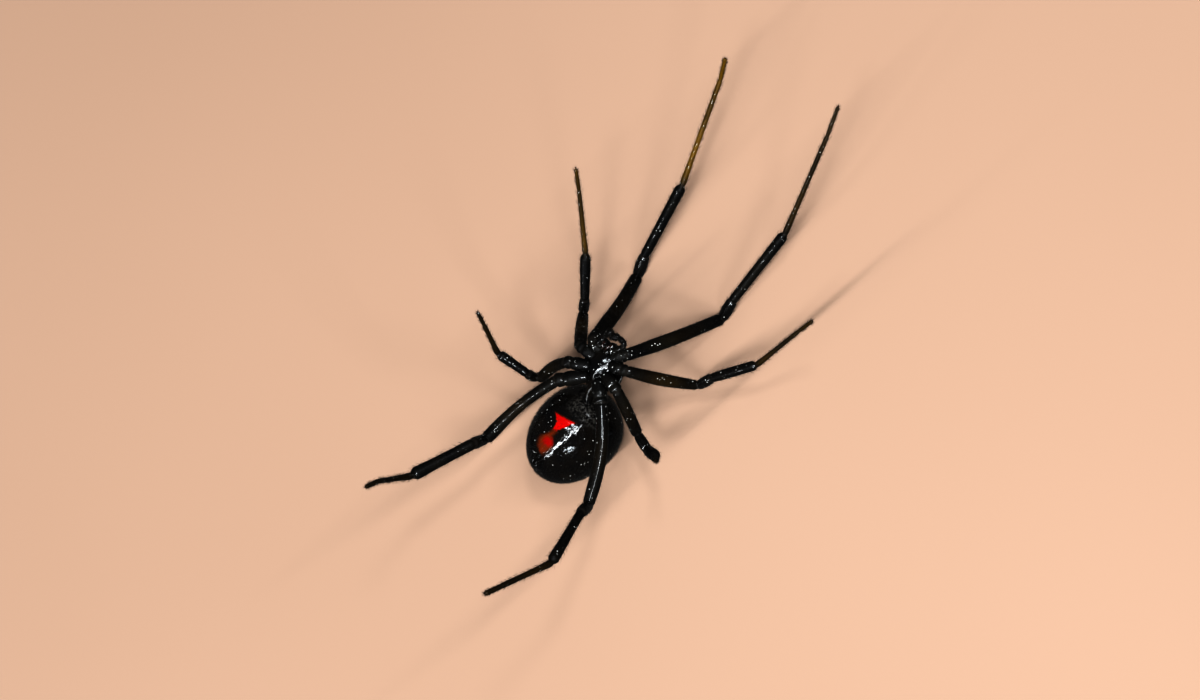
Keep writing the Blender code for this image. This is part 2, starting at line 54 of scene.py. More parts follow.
class Wire:
    # one output of a node, so that shader maths reads like arithmetic
    def __init__(self, paint, socket):
        self.paint = paint
        self.socket = socket

    def maths(self, operation, *values):
        return self.paint.node("ShaderNodeMath", {"operation": operation}, dict(enumerate(values)))

    def __add__(self, other):
        return self.maths("ADD", self, other)

    def __sub__(self, other):
        return self.maths("SUBTRACT", self, other)

    def __rsub__(self, other):
        return self.maths("SUBTRACT", other, self)

    def __mul__(self, other):
        return self.maths("MULTIPLY", self, other)

    def __truediv__(self, other):
        return self.maths("DIVIDE", self, other)

    def __pow__(self, other):
        return self.maths("POWER", self, other)

    __radd__ = __add__
    __rmul__ = __mul__

    def least(self, other):
        return self.maths("MINIMUM", self, other)

    def most(self, other):
        return self.maths("MAXIMUM", self, other)

    def between(self, low, high):
        # 0 below low, 1 above high, smooth in between
        settings = {"interpolation_type": "SMOOTHSTEP"}
        return self.paint.node("ShaderNodeMapRange", settings, {0: self, 1: low, 2: high})

    def scaled(self, amounts):
        settings = {"operation": "MULTIPLY"}
        return self.paint.node("ShaderNodeVectorMath", settings, {0: self, 1: amounts})

    def part(self, axis):
        return self.paint.node("ShaderNodeSeparateXYZ", {}, {0: self}, axis)


class Paint:
    # one material; what is the same all over goes straight onto its shader's sockets
    def __init__(self, name, sockets):
        self.material = bpy.data.materials.new(name)
        self.material.use_nodes = True
        self.tree = self.material.node_tree
        self.shader = self.tree.nodes["Principled BSDF"]
        for socket, value in sockets.items():
            self.shader.inputs[socket].default_value = value

    def node(self, kind, settings, sockets, out=0):
        made = self.tree.nodes.new(kind)
        for name, value in settings.items():
            if name == "stops":
                self.setStops(made.color_ramp, value)
            else:
                setattr(made, name, value)
        for socket, value in sockets.items():
            self.join(made.inputs[socket], value)
        return Wire(self, made.outputs[out])

    def setStops(self, ramp, stops):
        while len(ramp.elements) < len(stops):
            ramp.elements.new(0.5)
        for stop, (place, value) in zip(ramp.elements, stops):
            stop.position = place
            stop.color = (value, value, value, 1.0)

    def join(self, socket, value):
        if isinstance(value, Wire):
            self.tree.links.new(value.socket, socket)
        else:
            socket.default_value = value

    def drive(self, **values):
        # Base_Color=... feeds the shader's Base Color
        for name, value in values.items():
            self.join(self.shader.inputs[name.replace("_", " ")], value)

    def places(self):
        # the spot on the surface, in millimetres
        spot = self.node("ShaderNodeTexCoord", {}, {}, "Object")
        return spot.scaled((1.0 / millimetre,) * 3)

    def clouds(self, place, scale, detail=2.0):
        return self.node("ShaderNodeTexNoise", {}, {"Vector": place, "Scale": scale, "Detail": detail})

    def cells(self, place, scale):
        return self.node("ShaderNodeTexVoronoi", {}, {"Vector": place, "Scale": scale})

    def blend(self, share, first, second):
        # on a Mix node, sockets 6 and 7 are its two colours and output 2 is the mixed one
        return self.node("ShaderNodeMix", {"data_type": "RGBA"}, {0: share, 6: first, 7: second}, 2)

    def field(self, name):
        # a number that the mesh carries at each point
        return self.node("ShaderNodeAttribute", {"attribute_name": name}, {}, "Fac")

    def bump(self, height, look):
        # the depth of a bump is in metres
        sockets = {"Height": height, "Strength": look["bump"], "Distance": look["bumpDepth"]}
        self.drive(Normal=self.node("ShaderNodeBump", {}, sockets))


def colour(red, green, blue):
    return (red, green, blue, 1.0)


# plain sums on numbers, places and directions

def unit(vectors):
    length = np.linalg.norm(vectors, axis=-1, keepdims=True)
    return vectors / np.maximum(length, 1e-9)


def softStep(values, low, high):
    share = np.clip((np.asarray(values, float) - low) / (high - low), 0.0, 1.0)
    return share * share * (3.0 - 2.0 * share)


def hump(values, middle, reach):
    return np.exp(-((np.asarray(values, float) - middle) / reach) ** 2)


def roundHump(x, y, form):
    # a soft mound round a place, drawn out sideways by its stretch
    middleX, middleY = form["place"]
    return hump(np.hypot((x - middleX) / form["stretch"], y - middleY), 0.0, form["reach"])


def softened(values, count):
    kernel = np.hanning(count + 2)[1:-1]
    return np.convolve(np.pad(values, count // 2, mode="edge"), kernel / kernel.sum(), mode="valid")


def turned(points, axis, degrees):
    return points @ np.array(Matrix.Rotation(math.radians(degrees), 3, axis)).T


def alongLine(line):
    # how far along a line each of its points lies
    return np.concatenate([[0.0], np.cumsum(np.linalg.norm(np.diff(line, axis=0), axis=1))])


def curveThrough(places, steps):
    # a smooth line through a few places
    places = np.asarray(places, float)
    padded = np.vstack([places[0] * 2 - places[1], places, places[-1] * 2 - places[-2]])
    line = []
    for index in range(len(places) - 1):
        before, start, end, after = padded[index:index + 4]
        for share in np.arange(steps) / steps:
            line.append(0.5 * (
                2 * start + (end - before) * share
                + (2 * before - 5 * start + 4 * end - after) * share ** 2
                + (3 * start - before - 3 * end + after) * share ** 3
            ))
    line.append(places[-1])
    return np.array(line)


# faces and points, and the piece that they become

def gridFaces(rows, sides):
    # quads round a tube of rows, with a point at each end that follows the rows
    faces = []
    for row in range(rows - 1):
        here, further = row * sides, (row + 1) * sides
        for side in range(sides):
            after = (side + 1) % sides
            faces.append((here + side, here + after, further + after, further + side))
    first, last = rows * sides, rows * sides + 1
    for side in range(sides):
        after = (side + 1) % sides
        faces.append((first, after, side))
        faces.append((last, (rows - 1) * sides + side, (rows - 1) * sides + after))
    return faces


def taperedBall(sides, rings, look):
    # an oval body that may be narrower in front
    ball, faces = ballGrid(sides, rings)
    x, y, z = ball.T
    halfX, halfY, halfZ = look["halfSizes"]
    along, level = look["middle"]
    return np.stack([x * (halfX - look["taper"] * y), y * halfY + along, z * halfZ + level], 1), faces


def signedVolume(points, faces):
    # below 0 where the faces look inwards
    total = 0.0
    for face in faces:
        corners = points[list(face)]
        for index in range(1, len(face) - 1):
            total += np.dot(corners[0], np.cross(corners[index], corners[index + 1]))
    return total


def makePiece(name, points, faces, paint, replaced=(), fields=None, body="root"):
    # a mesh in millimetres becomes a piece of the model that rides on its body
    points = np.asarray(points, float)
    sample = faces[:: max(1, len(faces) // 4000)]  # a few thousand faces show which way they look
    if signedVolume(points - points.mean(0), sample) < 0:
        faces = [face[::-1] for face in faces]
    mesh = bpy.data.meshes.new(name)
    mesh.from_pydata((points * millimetre).tolist(), [], faces)
    mesh.shade_smooth()
    for field, values in (fields or {}).items():
        layer = mesh.attributes.new(field, "FLOAT", "POINT")
        layer.data.foreach_set("value", np.asarray(values, np.float32))
    mesh.materials.append(paint.material)
    piece = bpy.data.objects.new(name, mesh)
    bpy.context.scene.collection.objects.link(piece)
    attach(piece, body)
    if replaced:
        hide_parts(*replaced)
    return piece


def ballGrid(sides, rings):
    # a globe of radius 1 with its poles fore and aft
    rows = np.linspace(0.0, math.pi, rings + 1)[1:-1]
    turns = np.linspace(0.0, fullTurn, sides, endpoint=False)
    row, turn = np.meshgrid(rows, turns, indexing="ij")
    points = np.stack([np.sin(row) * np.sin(turn), np.cos(row), np.sin(row) * np.cos(turn)], -1)
    points = np.vstack([points.reshape(-1, 3), [[0.0, 1.0, 0.0], [0.0, -1.0, 0.0]]])
    return points, gridFaces(rings - 1, sides)


def carriedFrames(line):
    # directions along a line, and two across it that turn as little as they can
    along = unit(np.gradient(line, axis=0))
    first = np.cross(along[0], [0.0, 0.0, 1.0])
    if np.linalg.norm(first) < 0.1:
        first = np.cross(along[0], [1.0, 0.0, 0.0])
    across = [unit(first)]
    for index in range(1, len(line)):
        kept = across[-1] - along[index] * np.dot(across[-1], along[index])
        across.append(unit(kept))
    across = np.array(across)
    return along, across, np.cross(along, across)


def tubeGrid(line, radii, sides, flatter=1.0):
    # a round tube along a line; its ends close on a point
    line = np.asarray(line, float)
    radii = np.asarray(radii, float)
    along, across, upright = carriedFrames(line)
    turns = np.linspace(0.0, fullTurn, sides, endpoint=False)
    ring = np.cos(turns)[None, :, None] * across[:, None, :]
    ring = ring + flatter * np.sin(turns)[None, :, None] * upright[:, None, :]
    points = (line[:, None, :] + ring * radii[:, None, None]).reshape(-1, 3)
    endDome = 0.3
    ends = [line[0] - along[0] * radii[0] * endDome, line[-1] + along[-1] * radii[-1] * endDome]
    return np.vstack([points, ends]), gridFaces(len(line), sides)


def ringed(values, sides):
    # one value for each row of a tube becomes one for each of its points
    return np.concatenate([np.repeat(values, sides), [values[0], values[-1]]])


def joinedTubes(tubes):
    points, faces = [], []
    start = 0
    for grid, quads in tubes:
        points.append(grid)
        faces += [tuple(corner + start for corner in face) for face in quads]
        start += len(grid)
    return np.vstack(points), faces


# hairs: thin tapered bristles joined in one mesh, each with its own patch on the bake map
bristleLook = {
    "lengthSpread": (0.6, 1.25),  # shares of a hair's usual length
    "fan": 0.25,  # how far hairs stray sideways from their lean
    "rootDepth": 0.02,
    "waist": (0.5, 0.7),  # a ring half way up, and its share of the root's width
    "patch": 0.0015,  # half the width of a hair's patch on the bake map
}


def bristles(name, roots, normals, leans, spots, look, slot="leg_black"):
    count = len(roots)
    lengths = (look["length"] * chance.uniform(*bristleLook["lengthSpread"], count))[:, None]
    lift = np.radians(look["lift"] + chance.normal(0.0, look["scatter"], count))[:, None]
    sideways = np.cross(normals, leans)
    leans = unit(leans + sideways * chance.normal(0.0, bristleLook["fan"], count)[:, None])
    rise = unit(normals * np.sin(lift) + leans * np.cos(lift))
    bend = unit(rise + leans * look["bend"])
    first = unit(np.cross(rise, normals + 0.001))  # the small shift keeps the two from lying in line
    second = np.cross(rise, first)
    waist, waistWidth = bristleLook["waist"]
    rows = []
    spread = []
    for share, size in ((0.0, 1.0), (waist, waistWidth)):
        middle = roots - normals * bristleLook["rootDepth"] * (share == 0.0) + rise * lengths * share
        patch = bristleLook["patch"] * size
        for corner in range(3):
            turn = fullTurn * corner / 3
            out = first * math.cos(turn) + second * math.sin(turn)
            rows.append(middle + out * look["width"] * size)
            spread.append((patch * math.cos(turn), patch * math.sin(turn)))
    rows.append(roots + rise * lengths * waist + bend * lengths * (1.0 - waist))
    spread.append((0.0, 0.0))
    points = np.stack(rows, 1).reshape(-1, 3)
    points[:, 2] = np.maximum(points[:, 2], floorGap)
    perHair = len(rows)
    pattern = [(0, 1, 4, 3), (1, 2, 5, 4), (2, 0, 3, 5), (3, 4, 6), (4, 5, 6), (5, 3, 6)]
    faces = [tuple(corner + perHair * hair for corner in face) for hair in range(count) for face in pattern]
    piece = makePiece(name, points, faces, darkHair, ())
    mesh = piece.data
    layer = mesh.uv_layers.new(name="OFBake")
    corners = np.zeros(len(mesh.loops), np.int32)
    mesh.loops.foreach_get("vertex_index", corners)
    patches = np.asarray(spots)[corners // perHair] + np.array(spread)[corners % perHair]
    layer.data.foreach_set("uv", np.clip(patches, 0.0, 1.0).astype(np.float32).ravel())


def aroundTube(line, radii, frames, index, turns):
    # the ways out of a tube at some of its rows, and the places on its skin there
    out = frames[1][index] * np.cos(turns)[:, None] + frames[2][index] * np.sin(turns)[:, None]
    return out, line[index] + out * radii[index][:, None]


def tubeSpots(shares, turns):
    # places on the bake map, with a little room at its edges
    return np.stack([shares * 0.98 + 0.01, turns / fullTurn * 0.98 + 0.01], 1)


fineDetail = 3.0  # octaves of the finer clouds

# the black shell's finish; scales count per millimetre, and a pair is where a change starts and ends
skinLook = {
    "sockets": {"IOR": 1.35},
    "shade": colour(0.0014, 0.0013, 0.0015),
    "tint": colour(0.0045, 0.0032, 0.0022),
    "drift": 0.45,
    "driftSpan": (0.35, 0.75),
    "roughness": 0.045,
    "unevenness": 0.07,
    "grain": 16.0,
    "grainRoughness": 0.02,
    "wrinkles": 2.6,
    "pores": 4.4,
    "poreSpan": (0.02, 0.17),
    "wrinkleHeight": 0.6,
    "grainHeight": 0.08,
    "poreHeight": 0.35,
    "bump": 0.35,
    "bumpDepth": 0.00004,
    # pale flakes in the colour: partly dust, partly painted glints where light would catch hairs and pits
    "dustAndGlints": {
        "shade": colour(0.6, 0.6, 0.57),
        "cover": 0.8,
        "roughness": 0.3,
        "spacing": 3.0,
        "size": (2.1, 0.2),  # scale and strength of the slow change in the flakes' size
        "ragged": (22.0, 0.3),  # scale and strength of their ragged edges
        "smaller": 0.12,
        "edge": (0.0, 0.04),
        "patches": 0.9,
        "patchSpan": (0.44, 0.58),
    },
}
plateLook = dict(skinLook, roughness=0.04, wrinkles=3.4, pores=2.6, bump=0.5, bumpDepth=0.00008)


# ragged pale flakes, partly dust and partly painted glints
def dustAndGlintFlakes(paint, place, look):
    sizeScale, sizeShare = look["size"]
    edgeScale, edgeShare = look["ragged"]
    flakes = paint.clouds(place, sizeScale) * sizeShare
    flakes = flakes + paint.clouds(place, edgeScale, fineDetail) * edgeShare
    flakes = flakes - look["smaller"] - paint.cells(place, look["spacing"])
    return flakes.between(*look["edge"]) * paint.clouds(place, look["patches"]).between(*look["patchSpan"])


def shellBase(paint, look):
    # the shared build of every black shell: slow colour drift, grain, fine wrinkles and pale flakes that are
    # partly dust and partly painted glints
    place = paint.places()
    drift = paint.clouds(place, look["drift"])
    grain = paint.clouds(place, look["grain"], fineDetail)
    folds = paint.clouds(place, look["wrinkles"], fineDetail)
    pores = 1.0 - paint.cells(place, look["pores"]).between(*look["poreSpan"])
    dustAndGlints = dustAndGlintFlakes(paint, place, look["dustAndGlints"])
    shade = paint.blend(drift.between(*look["driftSpan"]), look["shade"], look["tint"])
    shade = paint.blend(dustAndGlints * look["dustAndGlints"]["cover"], shade, look["dustAndGlints"]["shade"])
    rough = look["roughness"] + folds * look["unevenness"] + grain * look["grainRoughness"]
    rough = rough + dustAndGlints * look["dustAndGlints"]["roughness"]
    height = folds * look["wrinkleHeight"] + grain * look["grainHeight"] + pores * look["poreHeight"]
    return place, shade, rough, height


def makeShellPaint(name, look):
    paint = Paint(name, look["sockets"])
    place, shade, rough, height = shellBase(paint, look)
    paint.drive(Base_Color=shade, Roughness=rough)
    paint.bump(height, look)
    return paint


bellyLook = {
    "sockets": {"IOR": 1.38},
    "creases": 1.6,
    "creaseHeight": 2.4,
    "bump": 0.45,
    "bumpDepth": 0.00006,
    "red": colour(0.27, 0.0006, 0.0004),
    "rearRed": colour(0.15, 0.0008, 0.0004),
    "fringe": colour(0.075, 0.01, 0.001),
    "fringeEdge": colour(0.02, 0.004, 0.0008),
    "slant": 0.18,  # the front edge runs askew, as in the photo
    "span": (-2.4, 1.3),
    "width": 1.3,
    # along the belly, and how far across the mark reaches there
    "leftEdge": [(-2.3, 0.1), (-2.2, -0.15), (-2.05, -0.4), (-1.84, -0.68), (-1.5, -0.84), (-1.25, -0.9),
                 (-0.91, -0.78), (-0.71, -0.55), (-0.5, -0.4), (-0.3, -0.31), (0.0, -0.3), (0.25, -0.36),
                 (0.48, -0.45), (0.75, -0.75), (0.98, -1.08)],
    "rightEdge": [(-2.3, 0.15), (-2.04, 0.28), (-1.7, 0.5), (-1.45, 0.56), (-1.2, 0.5), (-0.9, 0.3),
                  (-0.68, 0.16), (-0.28, 0.2), (-0.1, 0.13), (0.15, 0.3), (0.39, 0.44), (0.7, 0.6),
                  (1.0, 0.74)],
    "frontEnd": 1.0,
    "rearEnd": -2.3,
    "bellyLevel": (5.2, 5.6),
    "wobble": (3.2, 0.16),  # scale and strength of the mark's uneven edge
    "wobbleAlong": 0.7,
    "fuzz": (9.0, 0.2),  # the same for its fine fraying
    "edgeFuzz": 1.3,
    "edge": (-0.14, 0.08),
    "fringeSpan": (0.0, 0.35),
    "rearCore": {
        "middle": (0.02, -1.16),
        "halfLength": 0.46,
        "halfWidth": 0.35,
        "turn": (0.985, 0.17),  # cosine and sine of its tilt
        "fuzz": 3.4,
        "wobble": 4.0,
        "span": (0.4, 1.45),
    },
    "frontCore": {"fuzz": 0.3, "inside": (-0.04, 0.12), "along": (-0.28, 0.05)},
    "paleLungsAndSheen": {  # the greyer patch before the mark: the book-lung covers' paler tone plus a painted sheen
        "shade": colour(0.03, 0.027, 0.023),
        "patches": (1.1, 0.3, 0.5),  # scale, start, end
        "mottle": (6.0, 0.35, 0.7),
        "along": (1.2, 1.9),
        "across": (-1.2, -0.3),
        "cover": 0.9,
        "roughness": 0.3,
    },
}


def makeBellyGloss():
    # the abdomen's shell, with the hourglass laid in by sums on the place
    look = bellyLook
    paint = Paint("bellyGloss", look["sockets"])
    place, shade, rough, height = shellBase(paint, skinLook)
    across, forward = place.part("X"), place.part("Y")
    onBelly = place.part("Z").between(*look["bellyLevel"])

    def waver(scale, strength):
        return (paint.clouds(place, scale) - 0.5) * strength

    wobble = waver(*look["wobble"])
    fuzz = waver(*look["fuzz"])
    along = forward - across * look["slant"] + wobble * look["wobbleAlong"]
    low, high = look["span"]
    share = (along - low) / (high - low)

    def edge(rows):
        width = look["width"]
        stops = [((spot - low) / (high - low), (x + width) / (2 * width)) for spot, x in rows]
        return paint.node("ShaderNodeValToRGB", {"stops": stops}, {0: share}) * (2 * width) - width

    # above 0 inside the mark, below 0 outside it
    inside = (across - edge(look["leftEdge"]) + wobble).least(edge(look["rightEdge"]) - across + wobble)
    inside = inside.least(look["frontEnd"] - along).least(along - look["rearEnd"])
    mark = (inside + fuzz * look["edgeFuzz"]).between(*look["edge"]) * onBelly

    rear, front, grey = look["rearCore"], look["frontCore"], look["paleLungsAndSheen"]
    coreX, coreY = rear["middle"]
    tiltCosine, tiltSine = rear["turn"]
    lengthwise = ((across - coreX) * tiltCosine - (along - coreY) * tiltSine) / rear["halfLength"]
    crosswise = ((across - coreX) * tiltSine + (along - coreY) * tiltCosine) / rear["halfWidth"]
    reach = (lengthwise ** 2.0 + crosswise ** 2.0) ** 0.5 + fuzz * rear["fuzz"] + wobble * rear["wobble"]
    rearCore = 1.0 - reach.between(*rear["span"])
    frontCore = (inside + fuzz * front["fuzz"]).between(*front["inside"])
    frontCore = frontCore * (along + fuzz).between(*front["along"])
    marking = paint.blend((inside + fuzz).between(*look["fringeSpan"]), look["fringeEdge"], look["fringe"])
    marking = paint.blend(rearCore, marking, look["rearRed"])
    marking = paint.blend(frontCore, marking, look["red"])

    patches, *patchSpan = grey["patches"]
    mottle, *mottleSpan = grey["mottle"]
    # the book-lung covers' paler tone plus a painted sheen, greyer and rougher
    paleLungsAndSheen = paint.clouds(place, patches).between(*patchSpan) * forward.between(*grey["along"])
    paleLungsAndSheen = paleLungsAndSheen * onBelly * across.between(*grey["across"])
    paleLungsAndSheen = paleLungsAndSheen * paint.clouds(place, mottle).between(*mottleSpan)
    shade = paint.blend(paleLungsAndSheen * grey["cover"], shade, grey["shade"])
    rough = rough + paleLungsAndSheen * grey["roughness"]
    paint.drive(Base_Color=paint.blend(mark, shade, marking), Roughness=rough)
    paint.bump(height + paint.clouds(place, look["creases"]) * look["creaseHeight"], look)
    return paint


legLook = dict(
    skinLook,
    sockets={"IOR": 1.16, "Coat IOR": 1.4, "Coat Roughness": 0.05},
    shade=colour(0.0013, 0.0012, 0.0012),
    tint=colour(0.0042, 0.0034, 0.0023),
    amber=colour(0.095, 0.048, 0.0025),
    streaks=((3.0, 3.0, 0.6), 1.2),  # how they are drawn out, and their scale
    streakShare=(0.75, 0.5),
    membrane=colour(0.012, 0.0095, 0.0075),
    membraneCover=0.5,
    roughness=0.4,
    membraneRoughness=0.1,
    glints=0.9,
    glintPatches=(3.4, 0.53, 0.6),  # scale, start, end
    wrinkles=5.0,
    pores=3.4,
    bump=0.8,
    bumpDepth=0.00006,
)


def makeLegGloss():
    # a dull shell that is polished in patches, amber towards the feet and paler at the joints
    look = legLook
    paint = Paint("legGloss", look["sockets"])
    place, shade, rough, height = shellBase(paint, look)
    joint = paint.field("joint")
    stretch, streakScale = look["streaks"]
    least, more = look["streakShare"]
    streaks = paint.clouds(place.scaled(stretch), streakScale)
    amber = paint.field("amber") * (least + streaks * more).least(1.0)
    shade = paint.blend(amber, shade, look["amber"])
    shade = paint.blend(joint * look["membraneCover"], shade, look["membrane"])
    glintScale, *glintSpan = look["glintPatches"]
    glints = paint.clouds(place, glintScale).between(*glintSpan) * look["glints"]
    rough = rough + joint * look["membraneRoughness"]
    paint.drive(Base_Color=shade, Roughness=rough, Coat_Weight=paint.field("polish").most(glints))
    paint.bump(height, look)
    return paint


hairLook = {
    "sockets": {"Specular IOR Level": 0.12, "Roughness": 0.4},
    "dark": colour(0.002, 0.0018, 0.0015),
    "light": colour(0.008, 0.006, 0.004),
    "drift": (1.4, 0.35, 0.7),  # scale, start, end
}
lensLook = {
    "sockets": {"IOR": 1.6, "Coat Weight": 1.0, "Coat Roughness": 0.02, "Roughness": 0.06},
    "dark": colour(0.004, 0.003, 0.003),
    "light": colour(0.03, 0.014, 0.006),
    "clouds": 6.0,
}
hornLook = {
    "sockets": {"IOR": 1.58, "Coat Weight": 0.5, "Coat Roughness": 0.05},
    "dark": colour(0.006, 0.0025, 0.002),
    "light": colour(0.022, 0.006, 0.0035),
    "growth": (2.0, 7.0, 7.0),
    "rings": (1.5, 0.3, 0.7),
    "roughness": (0.14, 0.14),
    "bump": 0.2,
    "bumpDepth": 0.00002,
}


def makeHairPaint():
    paint = Paint("darkHair", hairLook["sockets"])
    scale, *span = hairLook["drift"]
    drift = paint.clouds(paint.places(), scale).between(*span)
    paint.drive(Base_Color=paint.blend(drift, hairLook["dark"], hairLook["light"]))
    return paint


def makeLensPaint():
    paint = Paint("eyeLens", lensLook["sockets"])
    cloud = paint.clouds(paint.places(), lensLook["clouds"])
    paint.drive(Base_Color=paint.blend(cloud, lensLook["dark"], lensLook["light"]))
    return paint


def makeHornPaint():
    paint = Paint("redBrownHorn", hornLook["sockets"])
    scale, *span = hornLook["rings"]
    least, more = hornLook["roughness"]
    rings = paint.clouds(paint.places().scaled(hornLook["growth"]), scale)
    shade = paint.blend(rings.between(*span), hornLook["dark"], hornLook["light"])
    paint.drive(Base_Color=shade, Roughness=least + rings * more)
    paint.bump(rings, hornLook)
    return paint


blackGloss = makeShellPaint("blackGloss", skinLook)
plateGloss = makeShellPaint("plateGloss", plateLook)
bellyGloss = makeBellyGloss()
legGloss = makeLegGloss()
darkHair = makeHairPaint()
eyeLens = makeLensPaint()
redBrownHorn = makeHornPaint()
print("finishes made")


abdomenLook = {
    "centre": (-0.06, -0.09, 3.74),
    "halfSizes": (3.0, 3.92, 3.49),
    "tilt": -17.5,
    "frontSwell": 0.22,
    "bellyFlattening": 0.155,
    "bellySideShare": 0.6,
    "inset": 0.01,
    "sides": 260,
    "rings": 210,
    "hairs": 14000,
    "barer": ((0.55, 0.9), 0.6),  # fewer hairs on the belly's middle
    "hairless": (-0.96, 0.15),  # and none on the back's end or just above the floor
    "hair": {"length": 0.2, "lift": 34.0, "scatter": 9.0, "bend": 0.25, "width": 0.0048},
    # what stands in or out on the shell, by its place across and along, and how much
    "bellyForms": {
        "level": (4.4, 5.4),
        "furrow": {"along": 2.12, "bow": 0.16, "reach": 0.15, "ends": (-1.7, -0.9), "height": -0.05},
        "lungs": {"place": (0.95, 2.62), "stretch": 1.35, "reach": 0.36, "height": 0.05},
        "mound": {"place": (0.0, 2.45), "stretch": 1.3, "reach": 0.22, "height": 0.07},
        "slit": {"place": (0.0, 2.3), "stretch": 2.2, "reach": 0.07, "height": -0.06},
        "collar": {"place": (-0.05, -2.78), "squash": 0.85, "radius": 0.66, "reach": 0.13,
                   "hollow": (0.8, 0.4), "height": 0.07},
        "creases": {"count": 5.2, "waver": (0.8, 1.7), "reach": 1.6, "height": 0.006},
    },
    "backForms": {
        "level": (-2.6, -1.4),
        "pit": {"stretch": 1.0, "reach": 0.16},
        "pitPlaces": [(0.75, 1.5), (0.95, 0.1), (0.85, -1.1)],
        "pitDepth": 0.05,
        "heartLine": {"reach": 0.3, "ends": (-2.5, -1.0), "depth": 0.012},
    },
}


def abdomenSurface(points):
    look = abdomenLook
    halfX, halfY, halfZ = look["halfSizes"]
    x, y, z = points.T
    swell = 1.0 + look["frontSwell"] * ((y + 1.0) / 2.0) ** 2
    flatter = look["bellyFlattening"] * np.maximum(0.0, z) * np.clip(y + 0.5, 0.0, 1.0)
    placed = np.stack([
        x * halfX * swell * (1.0 - look["bellySideShare"] * flatter),
        y * halfY,
        z * halfZ * swell * (1.0 - flatter),
    ], 1)
    return turned(placed, "X", look["tilt"]) + np.array(look["centre"])


def abdomenRelief(spots):
    # how far the shell stands in or out, from the place on it
    x, y, z = spots.T
    either = np.abs(x)  # for what lies on both sides
    forms, backForms = abdomenLook["bellyForms"], abdomenLook["backForms"]
    furrow = forms["furrow"]
    relief = furrow["height"] * hump(y, furrow["along"] - furrow["bow"] * x ** 2, furrow["reach"])
    relief = relief * softStep(-either, *furrow["ends"])
    relief = relief + forms["lungs"]["height"] * roundHump(either, y, forms["lungs"])
    for form in (forms["mound"], forms["slit"]):
        relief = relief + form["height"] * roundHump(x, y, form)
    collar = forms["collar"]
    collarX, collarY = collar["place"]
    hollow, hollowReach = collar["hollow"]
    ring = np.hypot(x - collarX, (y - collarY) / collar["squash"])
    wall = hump(ring, collar["radius"], collar["reach"]) - hollow * hump(ring, 0.0, hollowReach)
    relief = relief + collar["height"] * wall
    creases = forms["creases"]
    waver, waverCount = creases["waver"]
    waves = np.sin(y * creases["count"] + waver * np.sin(x * waverCount)) * hump(x, 0.0, creases["reach"])
    relief = (relief + creases["height"] * waves) * softStep(z, *forms["level"])
    heart = backForms["heartLine"]
    pits = sum(roundHump(either, y, dict(backForms["pit"], place=place)) for place in backForms["pitPlaces"])
    back = heart["depth"] * hump(x, 0.0, heart["reach"]) * softStep(y, *heart["ends"])
    back = back + backForms["pitDepth"] * pits
    return relief - softStep(-z, *backForms["level"]) * back


def buildAbdomen():
    ball, faces = ballGrid(abdomenLook["sides"], abdomenLook["rings"])
    spots = abdomenSurface(ball)
    outward = unit(spots - np.array(abdomenLook["centre"]))
    spots = spots + outward * (abdomenRelief(spots) - abdomenLook["inset"])[:, None]
    spots[:, 2] = np.maximum(spots[:, 2], floorGap)
    makePiece("abdomenSkin", spots, faces, bellyGloss, ("abdomen", "hourglass_mark"))


def buildAbdomenHairs():
    # short sparse bristles all over, leaning back, and none where the shell rests
    count = abdomenLook["hairs"]
    bareSpan, barer = abdomenLook["barer"]
    backEnd, overFloor = abdomenLook["hairless"]
    aim = unit(chance.normal(0.0, 1.0, (count * 2, 3)))
    bare = softStep(aim[:, 2], *bareSpan) * barer
    aim = aim[(aim[:, 2] > backEnd) & (chance.uniform(0.0, 1.0, len(aim)) > bare)][:count]
    roots = abdomenSurface(aim)
    roots = roots[roots[:, 2] > overFloor]
    aim = unit(roots - np.array(abdomenLook["centre"]))
    leans = np.array([0.0, -1.0, 0.0]) - aim * (-aim[:, 1:2])
    spots = np.stack([np.arctan2(aim[:, 0], aim[:, 2]) / fullTurn + 0.5, np.arccos(aim[:, 1]) / math.pi], 1)
    roots = roots - aim * abdomenLook["inset"]
    bristles("abdomenHairs", roots, aim, unit(leans), spots, abdomenLook["hair"], "black_gloss")


buildAbdomen()
buildAbdomenHairs()
print("abdomen made")


spinneretLook = {
    "place": (-0.05, -2.78, 6.33),
    "lean": 38.0,
    # across, along, radius and height of each pair of cones
    "pairs": [(0.2, 0.2, 0.18, 0.62), (0.25, -0.22, 0.155, 0.56), (0.08, -0.02, 0.085, 0.42)],
    # foot, tip and radius: the small cone before them and the lobe behind
    "singles": [((0.0, 0.42, -0.1), (0.0, 0.36, 0.2), 0.09), ((0.0, -0.5, -0.12), (0.0, -0.42, 0.34), 0.17)],
    "footDepth": 0.12,
    "gather": (0.72, 0.62),  # how far the tips lean together
    "bow": 0.02,
    "hairsPerCone": 26,
    "hairSpan": (0.45, 0.97),  # where they stand, as shares of a cone's height
    "hair": {"length": 0.17, "lift": 30.0, "scatter": 10.0, "bend": 0.3, "width": 0.007},
}


def coneRadii(share, radius):
    # tapers to the tip, with a swelling and a groove before the last joint
    size = radius * (1.0 - 0.32 * share + 0.05 * hump(share, 0.55, 0.08) - 0.08 * hump(share, 0.66, 0.03))
    return size * np.sqrt(np.clip((1.02 - share) / 0.14, 0.05, 1.0))


